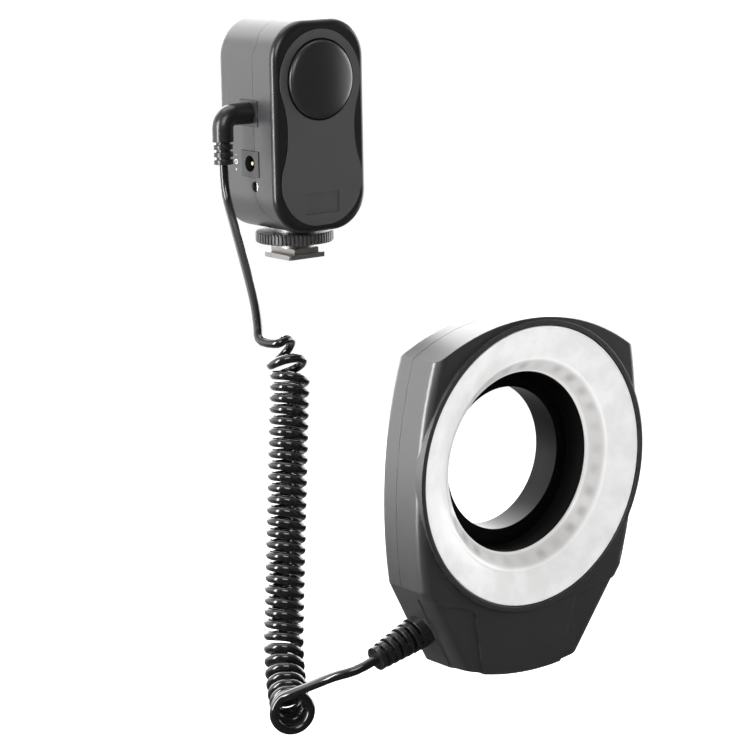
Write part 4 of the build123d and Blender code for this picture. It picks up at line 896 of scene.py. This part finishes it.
@dataclass
class CrossScrews:
    """A node's screws with rounded heads and a cross cut in each head that shows.

    Lengths are in millimetres and angles in degrees.
    """

    node: str
    reach: float
    arm: float = 0.55
    taper: float = 0.6
    depth: float = 0.7
    rounding: float = 0.3
    rounding_steps: int = 3
    sharp: float = 60.0
    apart: float = 6.0
    arm_turns: Pair = (45.0, -45.0)

    def _heads(self, mesh: bpy.types.Mesh) -> list[Vector]:
        """Finds the outer face of each head, which are the farthest back in the node.

        Args:
            mesh: The screws.

        Returns:
            The middles of the faces.
        """
        back = max(corner.co.y for corner in mesh.vertices)
        rims: list[list[Vector]] = []
        for corner in mesh.vertices:
            if corner.co.y < back - NEAR:
                continue
            near = [rim for rim in rims if (rim[0] - corner.co).length < self.apart * MM]
            if near:
                near[0].append(corner.co.copy())
            else:
                rims.append([corner.co.copy()])
        return [sum(rim, Vector()) / len(rim) for rim in rims]

    def _cutter(self, heads: list[Vector], turn: float) -> Piece:
        """Lays one arm of the cross over every head, narrower towards its floor.

        Args:
            heads: The middles of the heads.
            turn: The arm's angle about Y.

        Returns:
            The arms as one object.
        """
        size = (2 * self.reach * MM, 2 * self.depth * MM, self.arm * MM)
        turned = (0.0, math.radians(turn), 0.0)
        bpy.ops.object.select_all(action="DESELECT")
        arms = []
        for head in heads:
            bpy.ops.mesh.primitive_cube_add(size=1.0, location=head, rotation=turned, scale=size)
            arms.append(bpy.context.object)
        for arm in arms:
            for corner in arm.data.vertices:
                if corner.co.y < 0:
                    corner.co.x *= self.taper
            arm.select_set(True)
        bpy.ops.object.join()
        bpy.ops.object.transform_apply()
        return bpy.context.object

    def build(self, dresser: Dresser) -> None:
        """Copies the node's screws, rounds their edges and cuts the crosses.

        Args:
            dresser: Gives them their finish.
        """
        mesh = frame["nodes"][self.node].data.copy()
        piece = bpy.data.objects.new("cross_" + self.node, mesh)
        bpy.context.scene.collection.objects.link(piece)
        Bench.pick(piece)
        bpy.ops.object.mode_set(mode="EDIT")
        bpy.ops.mesh.select_all(action="SELECT")
        bpy.ops.mesh.remove_doubles(threshold=MERGE_DISTANCE)
        bpy.ops.mesh.customdata_custom_splitnormals_clear()
        bpy.ops.mesh.tris_convert_to_quads()
        bpy.ops.object.mode_set(mode="OBJECT")
        heads = self._heads(mesh)
        limit = {"limit_method": "ANGLE", "angle_limit": math.radians(self.sharp)}
        width, segments = self.rounding * MM, self.rounding_steps
        Bench.modify(piece, "BEVEL", width=width, segments=segments, **limit)
        for turn in self.arm_turns:
            cutter = self._cutter(heads, turn)
            Bench.modify(piece, "BOOLEAN", operation="DIFFERENCE", solver="EXACT", object=cutter)
            bpy.data.objects.remove(cutter)
        Bench.smooth(piece)
        dresser.dress(piece, "screw_steel", "unit")
        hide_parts(self.node)


@dataclass
class PrintedMark:
    """A small sign printed on a node: what it shows, where, and how tall, in millimetres."""

    name: str
    words: str
    spot: Place
    height: float
    on: str
    body: str = "unit"
    seen: Seen = Seen.BEHIND
    thickness: float = 0.02
    start: float = 50.0
    letter_steps: int = 4

    def build(self, dresser: Dresser) -> None:
        """Lays the sign on its node's surface, found from outside.

        Args:
            dresser: Gives it its finish.
        """
        out = Vector((0.0, 0.0, 1.0))
        out.rotate(Euler(self.seen.value))
        outside = (Vector(self.spot) + out * self.start) * MM
        found, face, _, _ = frame["nodes"][self.on].ray_cast(outside, -out)
        if not found:
            raise RuntimeError(f"{self.name} has no face under it")
        bpy.ops.object.select_all(action="DESELECT")
        bpy.ops.object.text_add(radius=self.height * MM, location=face, rotation=self.seen.value)
        sign = bpy.context.object
        sign.name = "mark_" + self.name
        sign.data.body = self.words
        sign.data.align_x = sign.data.align_y = "CENTER"
        sign.data.extrude = self.thickness * MM
        sign.data.resolution_u = self.letter_steps
        bpy.ops.object.convert(target="MESH")
        bpy.ops.object.transform_apply()
        dresser.dress(bpy.context.object, "led_board_white", self.body)


@dataclass(frozen=True)
class SoftBox:
    """A lamp that faces the object and stays out of the picture.

    It has a place, a width and height, and the radiance of its face.
    """

    name: str
    spot: Place
    size: Pair
    radiance: float

    def build(self) -> None:
        """Hangs the lamp."""
        data = bpy.data.lights.new(self.name, "AREA")
        data.shape = "RECTANGLE"
        data.size, data.size_y = self.size
        data.energy = self.radiance * math.pi * data.size * data.size_y
        lamp = bpy.data.objects.new(self.name, data)
        lamp.location = self.spot
        ahead = Vector(CENTRE) - Vector(self.spot)
        lamp.rotation_euler = ahead.to_track_quat("-Z", "Y").to_euler()
        lamp.visible_camera = False
        bpy.context.scene.collection.objects.link(lamp)


@dataclass
class Studio:
    """Camera, lamps, world and floor.

    Angles are in degrees, the camera's own sizes in millimetres and the rest in metres. A mirror
    says how bright the surround is in reflections: where it rises, and from what to what.
    """

    azimuth: float = -38.27
    elevation: float = 11.87
    roll: float = -0.96
    focal_length: float = 120.04
    sensor_width: float = 36.0
    spot: Place = (-0.6075, -0.8221, 0.1639)
    boxes: tuple[SoftBox, ...] = (
        SoftBox("backdrop", (0.42, 0.92, 0.42), (1.8, 1.3), 3.6),
        SoftBox("cord_side", (-0.74, 0.46, 0.08), (1.3, 0.66), 1.2),
        SoftBox("cord_strip", (-0.84, -0.02, 0.10), (0.18, 0.70), 24.0),
        SoftBox("far_side", (0.90, -0.05, 0.04), (1.05, 0.60), 4.2),
        SoftBox("overhead", (0.05, 0.15, 0.95), (0.8, 0.6), 2.4),
        SoftBox("front_fill", (-0.32, -0.50, 0.34), (0.32, 0.32), 6.0),
    )
    world_light: float = 0.30
    world_mirror: Numbers = (-0.4, 0.7, 0.05, 1.0)
    world_rise: float = 0.5
    floor_z: float = -0.26
    floor_size: float = 8.0
    floor_colour: Place = grey(0.90)
    floor_roughness: float = 0.9
    floor_lift: float = 0.30
    floor_fade: Pair = (0.35, 1.0)
    floor_mirror: Numbers = (-0.10, 0.50, 0.04, 1.0)

    def camera(self) -> None:
        """Sets the camera at the photograph's viewing angle."""
        angles = (self.azimuth, self.elevation, self.roll)
        turn, lift, roll = (math.radians(angle) for angle in angles)
        level = Euler((math.pi / 2 - lift, 0.0, turn)).to_matrix().to_4x4()
        data = bpy.data.cameras.new("camera")
        data.lens = self.focal_length
        data.sensor_width = self.sensor_width
        camera = bpy.data.objects.new("camera", data)
        bpy.context.scene.collection.objects.link(camera)
        tilted = level @ Matrix.Rotation(roll, 4, "Z")
        camera.matrix_world = Matrix.Translation(self.spot) @ tilted
        bpy.context.scene.camera = camera

    def world(self) -> None:
        """Makes the world: white for the camera, and in reflections darker towards the front."""
        world = bpy.data.worlds.new("studio")
        world.use_nodes = True
        bpy.context.scene.world = world
        sheet = Sheet(world.node_tree)
        plain = world.node_tree.nodes["Background"]
        sheet.fill(plain, {"Color": WHITE, "Strength": self.world_light})
        path = sheet.add("LightPath").outputs
        way = sheet.add("SeparateXYZ", {0: sheet.add("TexCoord").outputs["Generated"]}).outputs
        behind = sheet.maths("MULTIPLY_ADD", way["Z"], self.world_rise, way["Y"])
        mirrored = sheet.spread(behind, *self.world_mirror)
        seen = sheet.maths("MAXIMUM", path["Is Camera Ray"], path["Is Transmission Ray"])
        strength = sheet.maths("MAXIMUM", seen, mirrored)
        white = sheet.add("Background", {"Color": WHITE, "Strength": strength})
        shows = sheet.maths("MAXIMUM", seen, path["Is Glossy Ray"])
        surface = sheet.choose(shows, plain.outputs[0], white.outputs[0])
        sheet.fill(world.node_tree.nodes["World Output"], {"Surface": surface})

    def floor(self) -> None:
        """Lays the pale floor: it keeps the shadow, runs out into white and is clear from below."""
        bpy.ops.mesh.primitive_plane_add(size=self.floor_size, location=(0.0, 0.0, self.floor_z))
        floor = bpy.context.object
        floor.name = "floor"
        bpy.ops.object.transform_apply()
        material = bpy.data.materials.new("floor")
        material.use_nodes = True
        sheet = Sheet(material.node_tree)
        path, place = sheet.add("LightPath").outputs, sheet.place()
        seen = path["Is Camera Ray"]
        shader = material.node_tree.nodes["Principled BSDF"]
        inputs = {
            "Roughness": self.floor_roughness,
            "Base Color": (*self.floor_colour, 1.0),
            "Emission Color": WHITE,
            "Emission Strength": sheet.maths("MULTIPLY", seen, self.floor_lift),
        }
        sheet.fill(shader, inputs)
        length = sheet.add("VectorMath", {0: place}, operation="LENGTH").outputs["Value"]
        far = sheet.maths("MULTIPLY", sheet.spread(length, *self.floor_fade), seen)
        depth = sheet.add("SeparateXYZ", {0: place}).outputs["Y"]
        mirrored = sheet.spread(depth, *self.floor_mirror)
        white = sheet.add("Emission", {"Strength": sheet.maths("MAXIMUM", seen, mirrored)})
        shows = sheet.maths("MAXIMUM", far, path["Is Glossy Ray"])
        above = sheet.choose(shows, shader.outputs[0], white.outputs[0])
        below = sheet.add("NewGeometry").outputs["Backfacing"]
        surface = sheet.choose(below, above, sheet.add("BsdfTransparent").outputs[0])
        sheet.fill(material.node_tree.nodes["Material Output"], {"Surface": surface})
        floor.data.materials.append(material)

    def build(self) -> None:
        """Sets up the whole studio."""
        self.camera()
        for box in self.boxes:
            box.build()
        self.world()
        self.floor()
        bpy.context.scene.view_settings.view_transform = "Standard"


def finishes() -> list[Finish]:
    """Every finish of the object, in the order of its record.

    Returns:
        The finishes, each by its name, colour, roughness and what else sets it apart.
    """
    case, shell = (0.026, 0.0265, 0.028), (0.020, 0.0193, 0.0193)
    frost = {"coat": 0.2, "grain": 1500.0, "depth": 2e-6, "drift": 0.015, "wear_and_highlight_colour": grey(0.9)}
    worn_foot = {"drift": 0.12, "edge": 2.5e-4, "wear_and_highlight_colour": (0.5, 0.49, 0.47)}
    # The shell's edges are lightened strongly, as painted highlight along its ridges and wing lines.
    coated = {"drift": 0.12, "wear_and_highlight": 0.5, "coat": 0.5, "coat_roughness": 0.30, "ior": 1.7}
    turned = (900.0, 9000.0, 900.0)
    axis_z = joint_spot("adapter_turn").z
    return [
        Finish("case_plastic", case, 0.38, grain=2600.0, edge=1.5e-4, ior=1.65),
        Finish("bezel_gloss", grey(0.007), 0.30, spread=0.02, depth=1e-6, grain=900.0, wear_and_highlight=0.15),
        Finish("panel_plastic", (0.046, 0.045, 0.045), 0.50, grain=3000.0, depth=5e-6, edge=1.5e-4),
        Finish("dome_cap", grey(0.014), 0.30, spread=0.02, grain=2600.0, depth=2e-6, wear_and_highlight=0.2),
        Finish("shell_plastic", shell, 0.40, grain=2100.0, depth=1.1e-5, edge=6e-4, **coated),
        Finish("jack_plastic", (0.018, 0.018, 0.019), 0.32, grain=2600.0, depth=3e-6, edge=1.5e-4),
        MetalFinish("contact_metal", (0.78, 0.64, 0.38), 0.26, drift=0.1),
        MetalFinish("pin_steel", (0.72, 0.72, 0.73), 0.25, drift=0.1, edge=1e-4),
        Finish("board", (0.02, 0.13, 0.055), 0.35, coat=0.3, grain=1200.0, depth=4e-6),
        Finish("tray_plastic", (0.035, 0.035, 0.036), 0.5),
        Finish("cell_wrap", (0.08, 0.08, 0.09), 0.28, coat=0.4, depth=2e-6),
        MetalFinish("spring_steel", grey(0.74), 0.3),
        Finish("control_plastic", (0.06, 0.06, 0.064), 0.42, edge=1.5e-4),
        Finish("button_rubber", (0.045, 0.045, 0.048), 0.6, sheen=0.15, grain=2400.0, depth=8e-6),
        Finish("lamp_lens", (0.55, 0.06, 0.03), 0.14, coat=0.6, depth=1e-6, edge=1e-4),
        MetalFinish("foot_metal", (0.27, 0.26, 0.25), 0.40, **worn_foot),
        Finish("wheel_plastic", (0.032, 0.032, 0.033), 0.38, wear_and_highlight=0.6),
        MetalFinish("screw_steel", (0.10, 0.10, 0.105), 0.38, drift=0.1),
        DiffuserFinish("diffuser_frost", grey(0.86), 0.36, axis_z=axis_z, **frost),
        Finish("led_package", (0.85, 0.80, 0.45), 0.3, coat=0.5),
        Finish("led_board_white", (0.84, 0.84, 0.82), 0.45, coat=0.2),
        Finish("sleeve_plastic", grey(0.004), 0.60, wear_and_highlight=0.0, grain=2200.0, depth=1e-5, ior=1.25),
        MetalFinish("adapter_metal", (0.022, 0.022, 0.023), 0.42, drift=0.05, stretch=turned),
        Finish("relief_rubber", grey(0.009), 0.28, grain=2300.0, depth=4e-6, edge=4e-4, wear_and_highlight=0.2),
        Finish("cord_rubber", grey(0.006), 0.15, grain=1500.0, depth=1e-6, wear_and_highlight=0.0, coat=0.3),
        MetalFinish("plug_metal", grey(0.80), 0.16),
    ]


def marks() -> list[PrintedMark]:
    """The signs on the unit's back and buttons, and the polarity sign beside its power jack.

    Returns:
        The signs.
    """
    up, down = "brightness_up_button", "brightness_down_button"
    middles = {}
    for name in ("power_switch", "zone_switch", up, down):
        low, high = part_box(name)
        middles[name] = tuple((first + last) / 2 / MM for first, last in zip(low, high))
    power, zone = middles["power_switch"], middles["zone_switch"]
    above, aside, wall_y = power[2] + 3.1, 3.0, 7.6
    back, wall = {"on": "rear_cover"}, {"on": "unit_rear_shell", "seen": Seen.CORD_SIDE}
    return [
        PrintedMark("off", "OFF", (power[0] + aside, 0.0, above), 1.7, **back),
        PrintedMark("on", "ON", (power[0] - aside, 0.0, above), 1.7, **back),
        PrintedMark("left_half", "(", (zone[0] + aside, 0.0, above), 2.2, **back),
        PrintedMark("whole_ring", "O", (zone[0], 0.0, above), 2.0, **back),
        PrintedMark("right_half", ")", (zone[0] - aside, 0.0, above), 2.2, **back),
        PrintedMark("more", "+", middles[up], 4.2, up, up),
        PrintedMark("less", "-", middles[down], 5.2, down, down),
        PrintedMark("minus", "-", (0.0, wall_y, 43.5), 3.0, **wall),
        PrintedMark("sleeve", "O", (0.0, wall_y, 40.5), 2.8, **wall),
        PrintedMark("core", ".", (0.0, wall_y, 41.4), 3.0, **wall),
        PrintedMark("plus", "+", (0.0, wall_y, 37.3), 2.6, **wall),
    ]


def main() -> None:
    """Builds the object and its studio."""
    logging.basicConfig(level=logging.INFO, format="%(name)s: %(message)s")
    bpy.ops.object.select_all(action="DESELECT")
    dresser = Dresser(finishes(), Surface())
    dresser.dress_nodes()
    CurlyCord().build(dresser)
    RingFace().build(dresser)
    CrownedCap().build(dresser)
    CrossScrews("head_screws", reach=1.5).build(dresser)
    CrossScrews("unit_screws", reach=1.25).build(dresser)
    for mark in marks():
        mark.build(dresser)
    Studio().build()


if __name__ == "__main__":
    main()
